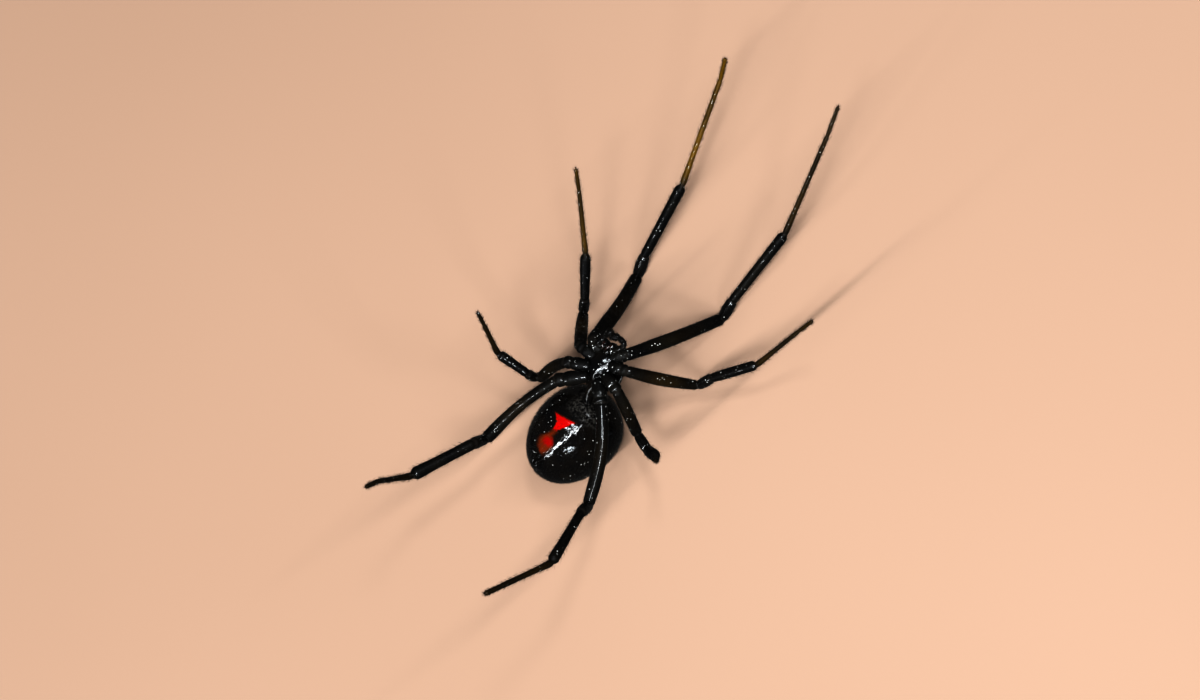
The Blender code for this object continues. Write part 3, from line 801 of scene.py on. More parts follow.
def buildSpinnerets():
    look = spinneretLook
    gatherX, gatherY = look["gather"]
    cones = []
    for across, along, radius, height in look["pairs"]:
        for side in (-1.0, 1.0):
            foot = (side * across, along, -look["footDepth"])
            cones.append((foot, (side * across * gatherX, along * gatherY, height), radius))
    tubes, roots, normals, leans = [], [], [], []
    for foot, tip, radius in cones + look["singles"]:
        foot, tip = np.array(foot), np.array(tip)
        line = curveThrough([foot, (foot + tip) / 2 + np.array([0.0, 0.0, look["bow"]]), tip], 14)
        size = coneRadii(np.linspace(0.0, 1.0, len(line)), radius)
        tubes.append(tubeGrid(line, size, 20))
        for turn in chance.uniform(0.0, fullTurn, look["hairsPerCone"]):
            row = int(chance.uniform(*look["hairSpan"]) * (len(line) - 1))
            out = np.array([math.cos(turn), math.sin(turn), 0.15])
            roots.append(line[row] + out * size[row] * 0.95)
            normals.append(unit(out))
            leans.append(unit(tip - foot))

    def leaned(rows):
        return turned(np.asarray(rows), "X", look["lean"])

    place = np.array(look["place"])
    points, faces = joinedTubes(tubes)
    makePiece("spinneretCones", leaned(points) + place, faces, blackGloss, ("spinnerets",))
    roots = leaned(roots) + place
    spots = 0.2 + 0.6 * (roots[:, :2] - roots[:, :2].min(0)) / np.ptp(roots[:, :2], axis=0)
    bristles("spinneretHairs", roots, leaned(normals), leaned(leans), spots, look["hair"], "black_gloss")


buildSpinnerets()
print("spinnerets made")


headLook = {
    "origin": (-0.38, 5.65, 7.4),
    "turn": 8.0,
    "back": -1.93,
    "front": 1.63,
    "edgeLevel": -1.12,
    "edgeThickness": 0.12,
    "middleShare": 0.4,
    "endRounding": 2.2,
    "inside": (0.0, -0.1, -1.5),  # the shield's hollows point at this place
    "stations": [0.0, 0.08, 0.2, 0.38, 0.55, 0.72, 0.86, 0.94, 1.0],
    "halfWidths": [0.3, 0.95, 1.45, 1.73, 1.64, 1.26, 0.94, 0.83, 0.6],
    "depths": [0.35, 0.75, 1.1, 1.2, 1.18, 1.22, 1.28, 1.14, 0.78],
    # the pit, the rays round it and the two grooves of the shield
    "hollows": {
        "level": (1.25, 1.7),
        "pit": {"place": (0.0, -0.45), "stretch": 1.8, "reach": 0.17, "depth": 0.16},
        "rays": {"count": 7.0, "sharpness": 8, "start": (0.25, 0.6), "end": (-1.7, -1.1), "depth": 0.035},
        "groove": {"start": (0.3, 0.05), "slope": 0.62, "reach": 0.09, "rear": (-0.2, 0.2),
                   "front": (-1.15, -0.8), "depth": 0.09},
    },
}
sternumLook = {
    "middle": -0.1,
    "halfLength": 1.04,
    "halfWidth": 0.74,
    "taper": 0.3,
    "squareness": 0.6,
    "scallops": (0.035, 8.6, 0.5),  # how deep, how many and where they start
    "dome": 0.25,
    "roof": 0.28,
    "ridge": 0.05,
    "arch": 0.23,
    "rim": 0.03,
    "depth": 0.35,
}
flankLook = {"halfSizes": (1.0, 1.6, 0.45), "taper": 0.05, "middle": (-0.13, -1.02)}
waistLook = {
    "line": [(0.0, -1.55, -1.0), (0.0, -1.95, -1.03), (-0.02, -2.35, -1.25), (0.0, -2.95, -1.75)],
    "radius": 0.27,
    "rings": (0.01, 22.0),
    "swell": 0.1,
    "flatter": 0.8,
}


def onHead(points):
    return turned(np.asarray(points, float), "Z", headLook["turn"]) + np.array(headLook["origin"])


def smoothTable(shares, places, values):
    # a soft curve through a short table
    reach = 9
    fine = np.linspace(0.0, 1.0, 201)
    rough = np.interp(fine, places, values)
    kernel = np.hanning(2 * reach + 1)
    padded = np.pad(rough, reach, mode="reflect", reflect_type="odd")
    return np.interp(shares, fine, np.convolve(padded, kernel / kernel.sum(), mode="valid"))


def shieldSurface(ball):
    look = headLook
    x, y, z = ball.T
    share = (y + 1.0) / 2.0
    width = smoothTable(share, look["stations"], look["halfWidths"])
    depth = smoothTable(share, look["stations"], look["depths"])
    along = look["back"] + share * (look["front"] - look["back"])
    ring = np.maximum(np.hypot(x, z), 1e-6)
    swell = np.minimum(1.0, ring * look["endRounding"])
    lift = z / ring
    thickness = look["edgeThickness"]
    middle = look["edgeLevel"] - depth * look["middleShare"]
    edge = look["edgeLevel"] - thickness + lift * np.where(lift > 0, thickness, depth)
    return np.stack([x / ring * width * swell, along, middle + (edge - middle) * swell], 1)


def shieldRelief(spots):
    # the shield faces the floor, so its hollows are on the low side
    x, y, z = spots.T
    look = headLook["hollows"]
    pit, rays, groove = look["pit"], look["rays"], look["groove"]
    pitLine = pit["place"][1]
    angle = np.arctan2(x, y - pitLine)
    reach = np.hypot(x, y - pitLine)
    rayed = np.cos(angle * rays["count"]) ** rays["sharpness"]
    rayed = rayed * softStep(reach, *rays["start"]) * softStep(-reach, *rays["end"])
    startX, startY = groove["start"]
    grooved = hump(np.abs(x) - startX - groove["slope"] * (y - startY), 0.0, groove["reach"])
    grooved = grooved * softStep(y, *groove["rear"]) * softStep(-y, *groove["front"])
    hollows = -pit["depth"] * roundHump(x, y, pit) - rays["depth"] * rayed - groove["depth"] * grooved
    return softStep(-z, *look["level"]) * hollows


def sternumSurface(ball):
    # a plate with blunt corners and scalloped sides, roof-like on top
    look = sternumLook
    x, y, z = ball.T
    flat = np.maximum(np.hypot(x, y), 1e-6)
    squareness = flat ** look["squareness"] / flat
    turn = np.arctan2(np.abs(x), y)
    scallopDepth, scallopCount, scallopStart = look["scallops"]
    scallops = 1.0 + scallopDepth * np.cos(turn * scallopCount + scallopStart) * softStep(flat, 0.5, 1.0)
    roof = np.sqrt((x * squareness) ** 2 + look["ridge"]) - math.sqrt(look["ridge"])
    top = look["dome"] - look["roof"] * roof - look["arch"] * (y * squareness) ** 2
    rim = look["rim"] * np.sqrt(np.maximum(0.0, 1.0 - (flat * squareness) ** 2))
    level = np.where(z > 0, np.maximum(top, 0.0) + rim, z * look["depth"])
    return np.stack([
        x * squareness * scallops * look["halfWidth"] * (1.0 + look["taper"] * y * squareness),
        y * squareness * scallops * look["halfLength"] + look["middle"],
        level - look["dome"] - look["rim"],
    ], 1)


def buildShield():
    ball, faces = ballGrid(150, 120)
    spots = shieldSurface(ball)
    outward = unit(spots - np.array(headLook["inside"]))
    spots = spots + outward * shieldRelief(spots)[:, None]
    makePiece("headShield", onHead(spots), faces, blackGloss, ("carapace",))


def buildFlanks():
    # the skin that closes the space between the shield, the plate and the hips
    flanks, faces = taperedBall(80, 60, flankLook)
    makePiece("flankSkin", onHead(flanks), faces, blackGloss)


def buildBreastPlate():
    ball, faces = ballGrid(150, 120)
    makePiece("breastPlate", onHead(sternumSurface(ball)), faces, plateGloss, ("sternum",))


def buildWaist():
    look = waistLook
    line = curveThrough(look["line"], 16)
    share = np.linspace(0.0, 1.0, len(line))
    ringHeight, ringCount = look["rings"]
    radii = look["radius"] + ringHeight * np.cos(share * ringCount) * softStep(share, 0.1, 0.3)
    radii = radii + look["swell"] * softStep(share, 0.55, 1.0)
    grid, quads = tubeGrid(onHead(line), radii, 28, look["flatter"])
    makePiece("waistSkin", grid, quads, blackGloss, ("pedicel",))


eyeShape = {"seat": 0.13, "height": 0.13, "radius": 0.115, "steps": 30, "sides": 28}


def buildEyes():
    # each lens sits in its low socket on the shield, at its solid's own place
    look = eyeShape
    for node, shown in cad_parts.items():
        if not node.startswith("eye_"):
            continue
        areas = {}  # the solid's widest flat is its foot, so the lens looks the other way
        for face in shown.data.polygons:
            key = tuple(round(value, 1) for value in face.normal)
            areas[key] = areas.get(key, 0.0) + face.area
        axis = -unit(np.array(max(areas, key=areas.get), float))
        low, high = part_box(node)
        middle = np.array((low + high) / 2) / millimetre
        seat = middle - axis * look["seat"]
        steps = np.linspace(0.0, 1.0, look["steps"])
        lens = [seat + axis * look["height"] * (1.0 - math.cos(math.pi * step)) for step in steps]
        size = look["radius"] * np.sin(math.pi * np.clip(steps, 0.03, 0.97))
        grid, quads = tubeGrid(lens, size, look["sides"])
        makePiece(node.replace("eye_", "eyeLens_"), grid, quads, eyeLens, (node,))


# radii are given as shares of the length and the half thickness there
mouthLook = {
    "jawRoot": (0.26, 1.36, -0.9),
    "jawTip": (0.29, 1.66, 0.26),
    "jawBow": 0.03,
    "jawRadii": ([0.0, 0.12, 0.35, 0.75, 0.93, 1.0], [0.2, 0.29, 0.33, 0.31, 0.23, 0.08]),
    "fang": [(0.3, 1.62, 0.2), (0.28, 1.52, 0.38), (0.2, 1.32, 0.48), (0.08, 1.1, 0.38)],
    "fangRadii": ([0.0, 0.2, 0.7, 1.0], [0.1, 0.1, 0.06, 0.012]),
    "lobe": [(0.62, 0.92, -0.42), (0.5, 1.12, -0.22), (0.33, 1.3, -0.1), (0.18, 1.38, -0.12)],
    "lobeRadius": 0.2,
    "lobeFlatter": 0.85,
    "lip": {"halfSizes": (0.27, 0.21, 0.14), "taper": 0.05, "middle": (1.06, -0.16)},
}


def mirroredLine(places, sign):
    return onHead([(x * sign, y, z) for x, y, z in places])


def buildMouth():
    look = mouthLook
    for side, sign in (("left", 1.0), ("right", -1.0)):
        root, tip = np.array(look["jawRoot"]), np.array(look["jawTip"])
        shares = np.linspace(0, 1, 34)
        bow = [np.array([look["jawBow"] * math.sin(math.pi * share), 0, 0]) for share in shares]
        jaw = [root + (tip - root) * share + bent for share, bent in zip(shares, bow)]
        grid, quads = tubeGrid(mirroredLine(jaw, sign), np.interp(shares, *look["jawRadii"]), 26)
        makePiece("jaw_" + side, grid, quads, blackGloss, ("chelicera_" + side,))

        fang = curveThrough(look["fang"], 12)
        shares = np.linspace(0.0, 1.0, len(fang))
        grid, quads = tubeGrid(mirroredLine(fang, sign), np.interp(shares, *look["fangRadii"]), 18)
        makePiece("hornFang_" + side, grid, quads, redBrownHorn, ("fang_" + side,))

        # the lobe beside the lip, at the foot of each palp
        lobe = curveThrough(look["lobe"], 12)
        shares = np.linspace(0.0, 1.0, len(lobe))
        roundEnds = np.clip(shares * 5.0, 0.05, 1.0) * np.clip((1.02 - shares) * 4.0, 0.05, 1.0)
        size = look["lobeRadius"] * np.sqrt(roundEnds)
        grid, quads = tubeGrid(mirroredLine(lobe, sign), size, 22, look["lobeFlatter"])
        makePiece("mouthLobe_" + side, grid, quads, blackGloss)

    lip, faces = taperedBall(48, 36, look["lip"])
    makePiece("lip", onHead(lip), faces, blackGloss)


buildShield()
buildFlanks()
buildBreastPlate()
buildWaist()
buildEyes()
buildMouth()
print("head part made")


# corners are the hip's root, then the ends of the hip, thigh, knee piece, shin and two end segments;
# sizes are half thicknesses of the five segments after the hip
legRows = {
    "left_1": {
        "corners": [(-0.01, 6.61, 6.95), (0.79, 7.32, 6.95), (2.51, 13.24, 0.1), (2.72, 14.84, 1.17),
                    (3.75, 21.28, 3.42), (3.44, 28.8, 7.49), (3.16, 31.02, 8.57)],
        "bow": (0.09, -0.07, 0.09), "amber": 0.16, "thighAmber": 0.03, "polish": 0.0,
        "sizes": [[0.46, 0.517, 0.511, 0.481, 0.462, 0.44], [0.4, 0.454, 0.4],
                  [0.345, 0.355, 0.366, 0.392], [0.225, 0.185, 0.166, 0.162], [0.137, 0.13, 0.128]],
    },
    "left_2": {
        "corners": [(0.27, 6.04, 6.95), (1.58, 6.45, 6.95), (4.9, 8.42, 2.06), (5.76, 9.57, 3.1),
                    (8.47, 12.54, 4.47), (10.52, 16.48, 7.37), (11.31, 17.79, 8.52)],
        "bow": (0.04, -0.09, 0.09), "amber": 0.18, "thighAmber": 0.1, "polish": 0.0,
        "sizes": [[0.42, 0.464, 0.481, 0.449, 0.404, 0.36], [0.365, 0.412, 0.378],
                  [0.335, 0.38, 0.376, 0.368], [0.22, 0.183, 0.153, 0.155], [0.13, 0.132, 0.13]],
    },
    "left_3": {
        "corners": [(0.38, 5.25, 6.95), (1.88, 4.91, 6.95), (3.88, 2.94, 3.43), (5.33, 2.54, 3.71),
                    (7.02, 2.88, 6.17), (8.42, 3.1, 9.44), (8.99, 3.23, 10.82)],
        "bow": (0.06, 0.02, 0.07), "amber": 0.15, "thighAmber": 0.03, "polish": 0.0,
        "sizes": [[0.41, 0.44, 0.45, 0.44, 0.42, 0.41], [0.355, 0.396, 0.37],
                  [0.38, 0.42, 0.44, 0.43], [0.22, 0.2, 0.18, 0.17], [0.145, 0.145, 0.13]],
    },
    "left_4": {
        "corners": [(0.23, 4.52, 6.95), (1.55, 3.45, 7.05), (5.58, -2.86, 7.3), (6.12, -3.33, 9.14),
                    (7.83, -6.97, 12.42), (7.97, -9.51, 17.95), (7.98, -10.35, 19.67)],
        "bow": (0.36, 0.26, 0.0), "amber": 0.12, "thighAmber": 0.03, "polish": 0.4,
        "sizes": [[0.45, 0.47, 0.48, 0.48, 0.48, 0.44], [0.4, 0.437, 0.41],
                  [0.33, 0.33, 0.362, 0.41], [0.26, 0.212, 0.195, 0.2], [0.18, 0.187, 0.175]],
    },
    "right_1": {
        "corners": [(-1.0, 6.47, 6.95), (-1.92, 6.66, 7.1), (-4.99, 11.79, 0.08), (-5.04, 13.45, 1.26),
                    (-4.75, 19.52, 4.2), (-6.36, 27.46, 6.42), (-6.14, 28.95, 8.54)],
        "bow": (0.16, 0.15, -0.06), "amber": 0.85, "thighAmber": 0.03, "polish": 0.0,
        "sizes": [[0.5, 0.559, 0.542, 0.51, 0.491, 0.46], [0.41, 0.48, 0.412],
                  [0.36, 0.367, 0.386, 0.406], [0.24, 0.193, 0.184, 0.18], [0.16, 0.158, 0.15]],
    },
    "right_2": {
        "corners": [(-1.11, 5.85, 6.95), (-2.51, 5.75, 6.95), (-6.02, 7.3, 1.93), (-5.84, 8.32, 3.63),
                    (-7.12, 11.25, 5.73), (-9.15, 14.85, 8.86), (-9.83, 16.08, 10.15)],
        "bow": (0.01, 0.01, 0.1), "amber": 0.42, "thighAmber": 0.1, "polish": 0.0,
        "sizes": [[0.46, 0.48, 0.467, 0.46, 0.42, 0.395], [0.39, 0.405, 0.37],
                  [0.335, 0.35, 0.392, 0.386], [0.225, 0.182, 0.163, 0.155], [0.142, 0.135, 0.13]],
    },
    "right_3": {
        "corners": [(-1.0, 5.05, 6.95), (-2.69, 4.2, 6.95), (-4.92, 1.46, 3.99), (-5.22, 1.51, 5.47),
                    (-7.45, 1.51, 7.1), (-8.25, 2.89, 10.24), (-8.71, 3.51, 11.61)],
        "bow": (-0.11, 0.17, 0.04), "amber": 0.1, "thighAmber": 0.03, "polish": 0.0,
        "sizes": [[0.4, 0.42, 0.43, 0.43, 0.42, 0.4], [0.355, 0.369, 0.37],
                  [0.335, 0.332, 0.362, 0.386], [0.235, 0.188, 0.168, 0.168], [0.138, 0.146, 0.125]],
    },
    "right_4": {
        "corners": [(-0.64, 4.38, 6.95), (-2.41, 2.71, 7.0), (-4.93, -4.31, 5.26), (-4.72, -4.86, 7.09),
                    (-6.0, -9.22, 9.87), (-5.24, -9.96, 15.82), (-4.94, -10.51, 17.66)],
        "bow": (-0.21, 0.2, 0.07), "amber": 0.1, "thighAmber": 0.03, "polish": 0.0,
        "sizes": [[0.43, 0.416, 0.407, 0.443, 0.489, 0.485], [0.41, 0.435, 0.45],
                  [0.42, 0.408, 0.43, 0.48], [0.265, 0.218, 0.187, 0.18], [0.185, 0.166, 0.15]],
    },
}
# lists here go by segment: thigh, knee piece, shin and the two end segments
legShape = {
    "sides": 24,
    "step": 0.055,
    "bendRadius": 0.45,
    "pairSizes": {1: 0.98, 2: 0.92, 3: 0.95, 4: 1.07},
    "hip": ([0.0, 0.3, 0.52, 0.69, 0.75, 0.8, 0.91, 0.97, 1.0],
            [0.4, 0.49, 0.54, 0.5, 0.43, 0.48, 0.51, 0.49, 0.44]),
    "sizePlaces": [[0.12, 0.28, 0.45, 0.65, 0.85, 0.96], [0.1, 0.5, 0.9], [0.06, 0.3, 0.6, 0.88],
                   [0.06, 0.25, 0.6, 0.94], [0.1, 0.5, 0.85]],
    # how far each segment narrows towards its two joints, as shares of its thickness
    "narrowing": [(0.82, 0.8), (0.8, 0.78), (0.8, 0.5), (0.85, 0.8), (0.85, 0.3)],
    "openingReach": 0.16,
    "closingReach": [0.2, 0.16, 0.42, 0.14, 0.14],
    "tipReach": 0.12,
    # where a leg's finishes change, in millimetres from a joint
    "tones": {
        "jointReach": 0.07,
        "hipRing": (0.75, 0.05, 0.7),  # its place as a share of the hip, reach and strength
        "amberStart": (-0.3, 0.9),
        "amberWaves": (0.72, 0.28, 0.9),  # mean, height, count
        "thighReach": 1.6,
        "polishStart": (-0.25, 0.0),
        "polishEnd": (-0.2, 0.1),
    },
}
# here a list goes by segment, hip first
legHairLook = {
    "rootRoom": (0.12, 0.05),  # kept free after and before a joint
    "perMillimetre": [34, 42, 48, 58, 74, 110],
    "lengths": [0.2, 0.26, 0.3, 0.36, 0.34, 0.27],
    "lift": 34.0,
    "scatter": 9.0,
    "bend": 0.35,
    "width": 0.0085,
}
combLook = {"count": 12, "length": 0.24, "lift": 42.0, "scatter": 2.0, "bend": 1.1, "width": 0.013}
# how far to the side each claw starts, and its share of the full size; the middle one is a small hook
clawLook = {"rows": ((-0.035, 1.0), (0.035, 1.0), (0.0, 0.6)), "radii": (0.03, 0.004), "palpSize": 0.6}


def legLine(name):
    # the leg's middle line with a bowed thigh and round bends, and how far along each joint lies
    row = legRows[name]
    radius = legShape["bendRadius"]
    corners = [np.array(corner) for corner in row["corners"]]
    line = [corners[0]]
    joints = []
    for before, corner, after in zip(corners, corners[1:], corners[2:]):
        into, out = unit(corner - before), unit(after - corner)
        bend = math.acos(min(1.0, max(-1.0, float(np.dot(into, out)))))
        start = corner - into * radius * math.tan(bend / 2.0)
        if len(joints) == 1:
            hip = line[-1]
            for share in np.arange(1, 8) / 8.0:
                line.append(hip + (start - hip) * share + np.array(row["bow"]) * math.sin(math.pi * share))
        joints.append(len(line) + 3)  # the middle of the seven points of this bend
        inward = unit(out - into * np.dot(into, out))
        for turn in bend * np.arange(7) / 6.0:
            line.append(start + (into * math.sin(turn) + inward * (1.0 - math.cos(turn))) * radius)
    line.append(corners[-1])
    line = np.array(line)
    distance = alongLine(line)
    marks = [0.0] + [distance[joint] for joint in joints] + [distance[-1]]
    fine = np.arange(0.0, distance[-1], legShape["step"])
    smooth = np.stack([np.interp(fine, distance, line[:, axis]) for axis in range(3)], 1)
    kernel = np.hanning(9)[1:-1]
    for axis in range(3):
        padded = np.pad(smooth[:, axis], 3, mode="reflect", reflect_type="odd")
        smooth[:, axis] = np.convolve(padded, kernel / kernel.sum(), mode="valid")
    return smooth, fine, marks


def tipRounding(distance, last, reach):
    return np.sqrt(np.clip((last - distance) / reach, 0.0, 1.0))


def legRadii(name, distance, marks):
    # half thickness along the leg, with a waist at each joint
    look = legShape
    radii = np.zeros(len(distance))
    segment = np.clip(np.searchsorted(marks, distance, side="right") - 1, 0, len(marks) - 2)
    for index in range(len(marks) - 1):
        chosen = segment == index
        start, end = marks[index], marks[index + 1]
        share = (distance[chosen] - start) / (end - start)
        if index == 0:
            radii[chosen] = np.interp(share, *look["hip"]) * look["pairSizes"][int(name[-1])]
            continue
        sizes = np.interp(share, look["sizePlaces"][index - 1], legRows[name]["sizes"][index - 1])
        first, last = look["narrowing"][index - 1]
        opening = softStep(distance[chosen], start - 0.01, start + look["openingReach"])
        closing = softStep(-distance[chosen], 0.01 - end, look["closingReach"][index - 1] - end)
        radii[chosen] = sizes * np.minimum(first + (1.0 - first) * opening, last + (1.0 - last) * closing)
    return softened(radii, 3) * tipRounding(distance, distance[-1] + 0.01, look["tipReach"])


def legFields(name, distance, marks):
    # where the shell is amber, where the paler joints show and where it is polished
    row, look = legRows[name], legShape["tones"]
    hip, thigh, knee, shin = marks[1:5]  # where each of these ends
    ringPlace, ringReach, ringStrength = look["hipRing"]
    joint = sum(hump(distance, mark, look["jointReach"]) for mark in marks[1:-1])
    joint = joint + ringStrength * hump(distance, hip * ringPlace, ringReach)
    mean, height, count = look["amberWaves"]
    outer = softStep(distance, *(shin + shift for shift in look["amberStart"]))
    amber = row["amber"] * outer * (mean + height * np.sin(distance * count + int(name[-1])))
    amber = amber + row["thighAmber"] * hump(distance, (hip + thigh) / 2, look["thighReach"])
    kneePolish = softStep(distance, *(thigh + shift for shift in look["polishStart"]))
    kneePolish = kneePolish * softStep(-distance, *(shift - knee for shift in look["polishEnd"]))
    polish = np.maximum(kneePolish, row["polish"] * softStep(-distance, -knee, -thigh))
    fields = {"amber": np.clip(amber, 0.0, 1.0), "joint": np.clip(joint, 0.0, 1.0), "polish": polish}
    return {field: ringed(values, legShape["sides"]) for field, values in fields.items()}


def buildLegHairs(name, line, distance, radii, marks, frames):
    look = legHairLook
    roomAfter, roomBefore = look["rootRoom"]
    size = legShape["pairSizes"][int(name[-1])]
    roots, normals, leans, spots, lengths = [], [], [], [], []
    for segment in range(len(marks) - 1):
        count = int(look["perMillimetre"][segment] * (marks[segment + 1] - marks[segment]))
        rows = chance.uniform(marks[segment] + roomAfter, marks[segment + 1] - roomBefore, count)
        index = np.clip(np.searchsorted(distance, rows), 0, len(line) - 1)
        turns = chance.uniform(0.0, fullTurn, count)
        out, skin = aroundTube(line, radii, frames, index, turns)
        roots.append(skin)
        normals.append(out)
        leans.append(frames[0][index])
        spots.append(tubeSpots(rows / distance[-1], turns))
        lengths.append(np.full(count, look["lengths"][segment] * size))
    rows = [np.vstack(block) for block in (roots, normals, leans, spots)]
    bristles("hairs_" + name, *rows, dict(look, length=np.concatenate(lengths)))


def buildClaws(name, tip, ahead, across, upright, size):
    # two curved claws side by side and a small hook between them
    tubes = []
    for offset, reach in clawLook["rows"]:
        start = tip - ahead * 0.08 + across * offset
        claw = curveThrough([
            start,
            start + ahead * 0.09 * reach + upright * 0.015,
            start + (ahead * 0.17 - upright * 0.03) * reach,
            start + (ahead * 0.19 - upright * 0.1) * reach,
        ], 6)
        tubes.append(tubeGrid(claw, np.linspace(*clawLook["radii"], len(claw)) * size, 8))
    points, faces = joinedTubes(tubes)
    makePiece("claws_" + name, points, faces, redBrownHorn, ())


def buildComb(name, line, distance, radii, marks, frames):
    # the row of curved bristles under the last segment of each hind leg
    along, across, upright = frames
    rows = np.linspace(marks[5] + 0.15, marks[6] - 0.2, combLook["count"])
    index = np.searchsorted(distance, rows)
    out = unit(across[index] * 0.5 + upright[index])
    roots = line[index] + out * radii[index][:, None]
    spots = np.stack([rows / distance[-1], np.full(len(rows), 0.15)], 1)
    bristles("comb_" + name, roots, out, along[index], spots, combLook)


def buildLeg(name):
    pair = int(name[-1])
    line, distance, marks = legLine(name)
    radii = legRadii(name, distance, marks)
    frames = carriedFrames(line)
    grid, quads = tubeGrid(line, radii, legShape["sides"])
    grid[:, 2] = np.maximum(grid[:, 2], floorGap)
    replaced = ["leg_%s_%s" % (name, part) for part in ("coxa", "femur", "patella", "tibia", "tarsus")]
    fields = legFields(name, distance, marks)
    makePiece("legSkin_" + name, grid, quads, legGloss, replaced, fields)
    buildLegHairs(name, line, distance, radii, marks, frames)
    buildClaws(name, line[-1], frames[0][-1], frames[1][-1], frames[2][-1], legShape["pairSizes"][pair])
    if pair == 4:
        buildComb(name, line, distance, radii, marks, frames)


palpLook = {
    "places": {
        "left": [(0.6, 1.05, -0.3), (0.76, 1.52, 0.05), (1.12, 1.86, 0.2), (1.18, 2.1, 0.3),
                 (0.98, 2.31, 0.3), (0.54, 2.36, 0.29), (0.19, 2.26, 0.34), (0.07, 2.02, 0.46)],
        "right": [(-0.6, 1.05, -0.3), (-0.7, 1.32, 0.12), (-0.52, 1.7, 0.32), (-0.32, 2.05, 0.58),
                  (0.0, 2.38, 0.98), (0.27, 2.58, 1.25)],
    },
    "radii": (
        [0.0, 0.05, 0.17, 0.19, 0.22, 0.4, 0.45, 0.47, 0.5, 0.57, 0.6, 0.63, 0.72, 0.76, 0.79, 0.9,
         0.97, 1.0],
        [0.12, 0.24, 0.24, 0.19, 0.23, 0.24, 0.23, 0.18, 0.21, 0.215, 0.175, 0.2, 0.21, 0.19, 0.28, 0.29,
         0.2, 0.05],
    ),
    "joints": (0.19, 0.47, 0.6, 0.76),
    "sides": 22,
    "hairs": 320,
    "hair": {"length": 0.22, "lift": 34.0, "scatter": 9.0, "bend": 0.3, "width": 0.0075},
}


def buildPalp(side):
    look = palpLook
    line = curveThrough(onHead(look["places"][side]), 24)
    distance = alongLine(line)
    share = distance / distance[-1]
    radii = softened(np.interp(share, *look["radii"]), 3) * tipRounding(share, 1.01, 0.06)
    frames = carriedFrames(line)
    grid, quads = tubeGrid(line, radii, look["sides"])
    joint = np.clip(sum(hump(share, spot, 0.012) for spot in look["joints"]), 0.0, 1.0)
    fields = {"amber": share * 0.0, "joint": joint, "polish": share * 0.0}
    fields = {field: ringed(values, look["sides"]) for field, values in fields.items()}
    makePiece("palpSkin_" + side, grid, quads, legGloss, ("pedipalp_" + side,), fields)

    rows = 1.0 - chance.uniform(0.0, 0.9, look["hairs"]) ** 1.4  # denser towards the tip
    index = np.clip(np.searchsorted(share, rows), 0, len(line) - 1)
    turns = chance.uniform(0.0, fullTurn, look["hairs"])
    out, roots = aroundTube(line, radii, frames, index, turns)
    spots = tubeSpots(rows, turns)
    bristles("hairs_palp_" + side, roots, out, frames[0][index], spots, look["hair"], "black_gloss")
    buildClaws("palp_" + side, line[-1], frames[0][-1], frames[1][-1], frames[2][-1], clawLook["palpSize"])


for legName in legRows:
    buildLeg(legName)
for palpSide in palpLook["places"]:
    buildPalp(palpSide)
print("legs and palps made")


floorLook = {
    "size": 0.9,  # metres
    "sockets": {"Roughness": 0.8, "Specular IOR Level": 0.2},
    "shade": colour(0.252, 0.166, 0.118),
    "drift": colour(0.215, 0.139, 0.097),
    "driftScale": 0.012,
}
cameraLook = {
    "photoSize": (1200.0, 700.0),
    "lens": 100.0,
    "sensor": 36.0,
    "eyeDistance": 247.0,
    "roll": 22.0,
    "pitch": 6.4,
    "yaw": 38.9,
    "aimPixel": (575.8, 435.0),
    "aimPlace": (0.0, 0.0, 3.5),
}
# place along the picture's right, up and towards the eye, size, turn in the picture, power, colour
lightLook = {
    "stripLight": ((-60.0, -45.0, 300.0), (640.0, 14.0), 42.4, 3.6, (0.93, 0.97, 1.0)),
    "endLight": ((-225.0, -185.0, 105.0), (120.0, 12.0), 42.4, 0.4, (0.93, 0.97, 1.0)),
    "windowLight": ((-80.0, -88.0, 294.0), (66.0, 54.0), 42.4, 0.65, (0.86, 0.94, 1.0)),
    "sideLight": ((70.0, -200.0, 290.0), (70.0, 60.0), -50.0, 0.7, (0.86, 0.94, 1.0)),
    "topLight": ((2.0, 120.0, 285.0), (34.0, 34.0), 0.0, 0.4, (0.88, 0.95, 1.0)),
}
lightAim = Vector((0.0, 2.0, 4.0))
roomLook = {"colour": colour(1.0, 0.95, 0.9), "strength": 0.1, "gamma": 0.72, "exposure": 0.1}


def buildFloor():
    paint = Paint("paleFloor", floorLook["sockets"])
    drift = paint.clouds(paint.places(), floorLook["driftScale"])
    paint.drive(Base_Color=paint.blend(drift, floorLook["shade"], floorLook["drift"]))
    half = floorLook["size"] / 2
    corners = [(-half, -half, 0.0), (half, -half, 0.0), (half, half, 0.0), (-half, half, 0.0)]
    mesh = bpy.data.meshes.new("floor")
    mesh.from_pydata(corners, [], [(0, 1, 2, 3)])
    mesh.materials.append(paint.material)
    floor = bpy.data.objects.new("floor", mesh)
    bpy.context.scene.collection.objects.link(floor)
    floor.visible_glossy = False  # keeps the rims of the black shell as dark as in the photo


def pictureAxes():
    # the picture's right and up, and the way to the eye, in the model's own frame
    roll, pitch, yaw = (math.radians(cameraLook[name]) for name in ("roll", "pitch", "yaw"))
    tilt = Matrix.Rotation(-pitch, 3, "X")
    towards = tilt @ Vector((math.sin(roll), 0.0, math.cos(roll)))
    sideways = tilt @ Vector((math.cos(roll), 0.0, -math.sin(roll)))
    ahead = tilt @ Vector((0.0, 1.0, 0.0))
    upward = ahead * math.cos(yaw) - sideways * math.sin(yaw)
    rightward = sideways * math.cos(yaw) + ahead * math.sin(yaw)
    return rightward, upward, towards


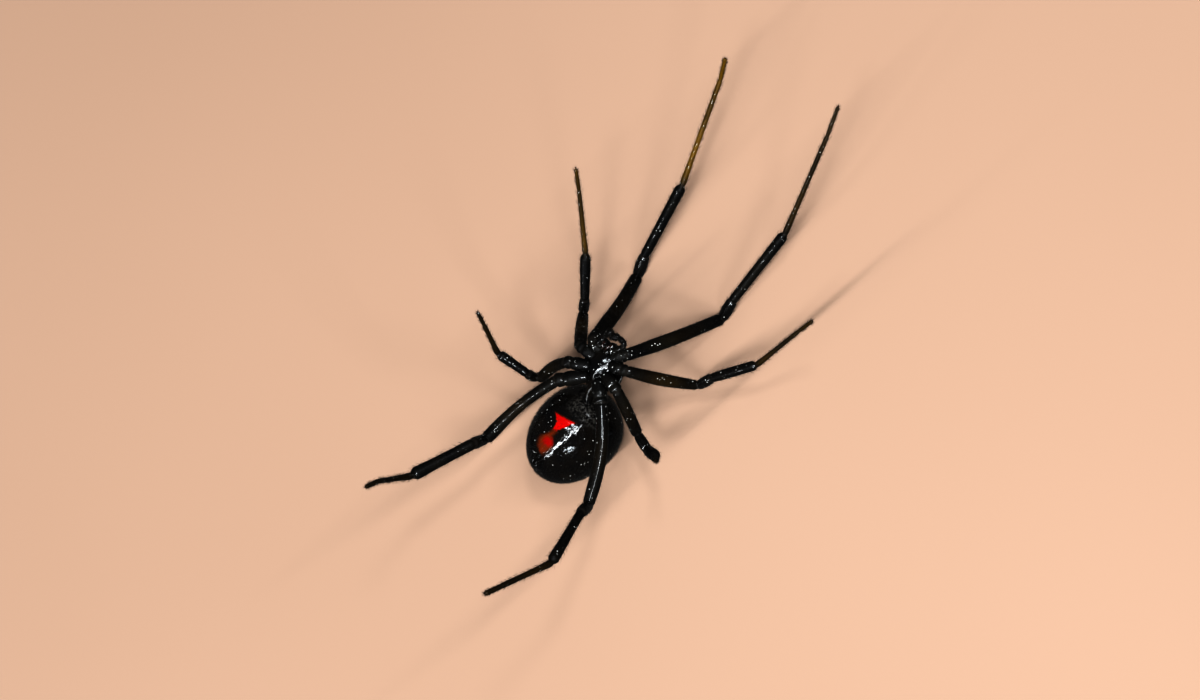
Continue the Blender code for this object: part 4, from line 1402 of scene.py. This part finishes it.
def buildCamera():
    look = cameraLook
    rightward, upward, towards = pictureAxes()
    photoWidth, photoHeight = look["photoSize"]
    perPixel = look["eyeDistance"] / (photoWidth * look["lens"] / look["sensor"])
    shiftX = photoWidth / 2 - look["aimPixel"][0]
    shiftY = photoHeight / 2 - look["aimPixel"][1]
    target = Vector(look["aimPlace"]) + rightward * shiftX * perPixel - upward * shiftY * perPixel
    data = bpy.data.cameras.new("photoCamera")
    data.lens = look["lens"]
    data.sensor_width = look["sensor"]
    data.clip_start = 0.01
    camera = bpy.data.objects.new("photoCamera", data)
    bpy.context.scene.collection.objects.link(camera)
    turn = Matrix((rightward, upward, towards)).transposed().to_4x4()
    place = (target + towards * look["eyeDistance"]) * millimetre
    camera.matrix_world = Matrix.Translation(place) @ turn
    bpy.context.scene.camera = camera


def buildLights():
    rightward, upward, towards = pictureAxes()
    for name, ((right, up, near), (sizeX, sizeY), turn, power, tint) in lightLook.items():
        data = bpy.data.lights.new(name, "AREA")
        data.shape = "RECTANGLE"
        data.size = sizeX * millimetre
        data.size_y = sizeY * millimetre
        data.energy = power
        data.color = tint
        light = bpy.data.objects.new(name, data)
        bpy.context.scene.collection.objects.link(light)
        place = lightAim + rightward * right + upward * up + towards * near
        back = (place - lightAim).normalized()
        side = rightward * math.cos(math.radians(turn)) + upward * math.sin(math.radians(turn))
        side = (side - back * side.dot(back)).normalized()
        axes = Matrix((side, back.cross(side), back)).transposed().to_4x4()
        light.matrix_world = Matrix.Translation(place * millimetre) @ axes


def buildRoom():
    world = bpy.data.worlds.new("softRoom")
    world.use_nodes = True
    background = world.node_tree.nodes["Background"]
    background.inputs["Color"].default_value = roomLook["colour"]
    background.inputs["Strength"].default_value = roomLook["strength"]
    bpy.context.scene.world = world
    bpy.context.scene.view_settings.view_transform = "Standard"
    bpy.context.scene.view_settings.gamma = roomLook["gamma"]
    bpy.context.scene.view_settings.exposure = roomLook["exposure"]


buildFloor()
buildCamera()
buildLights()
buildRoom()
print("stage made")
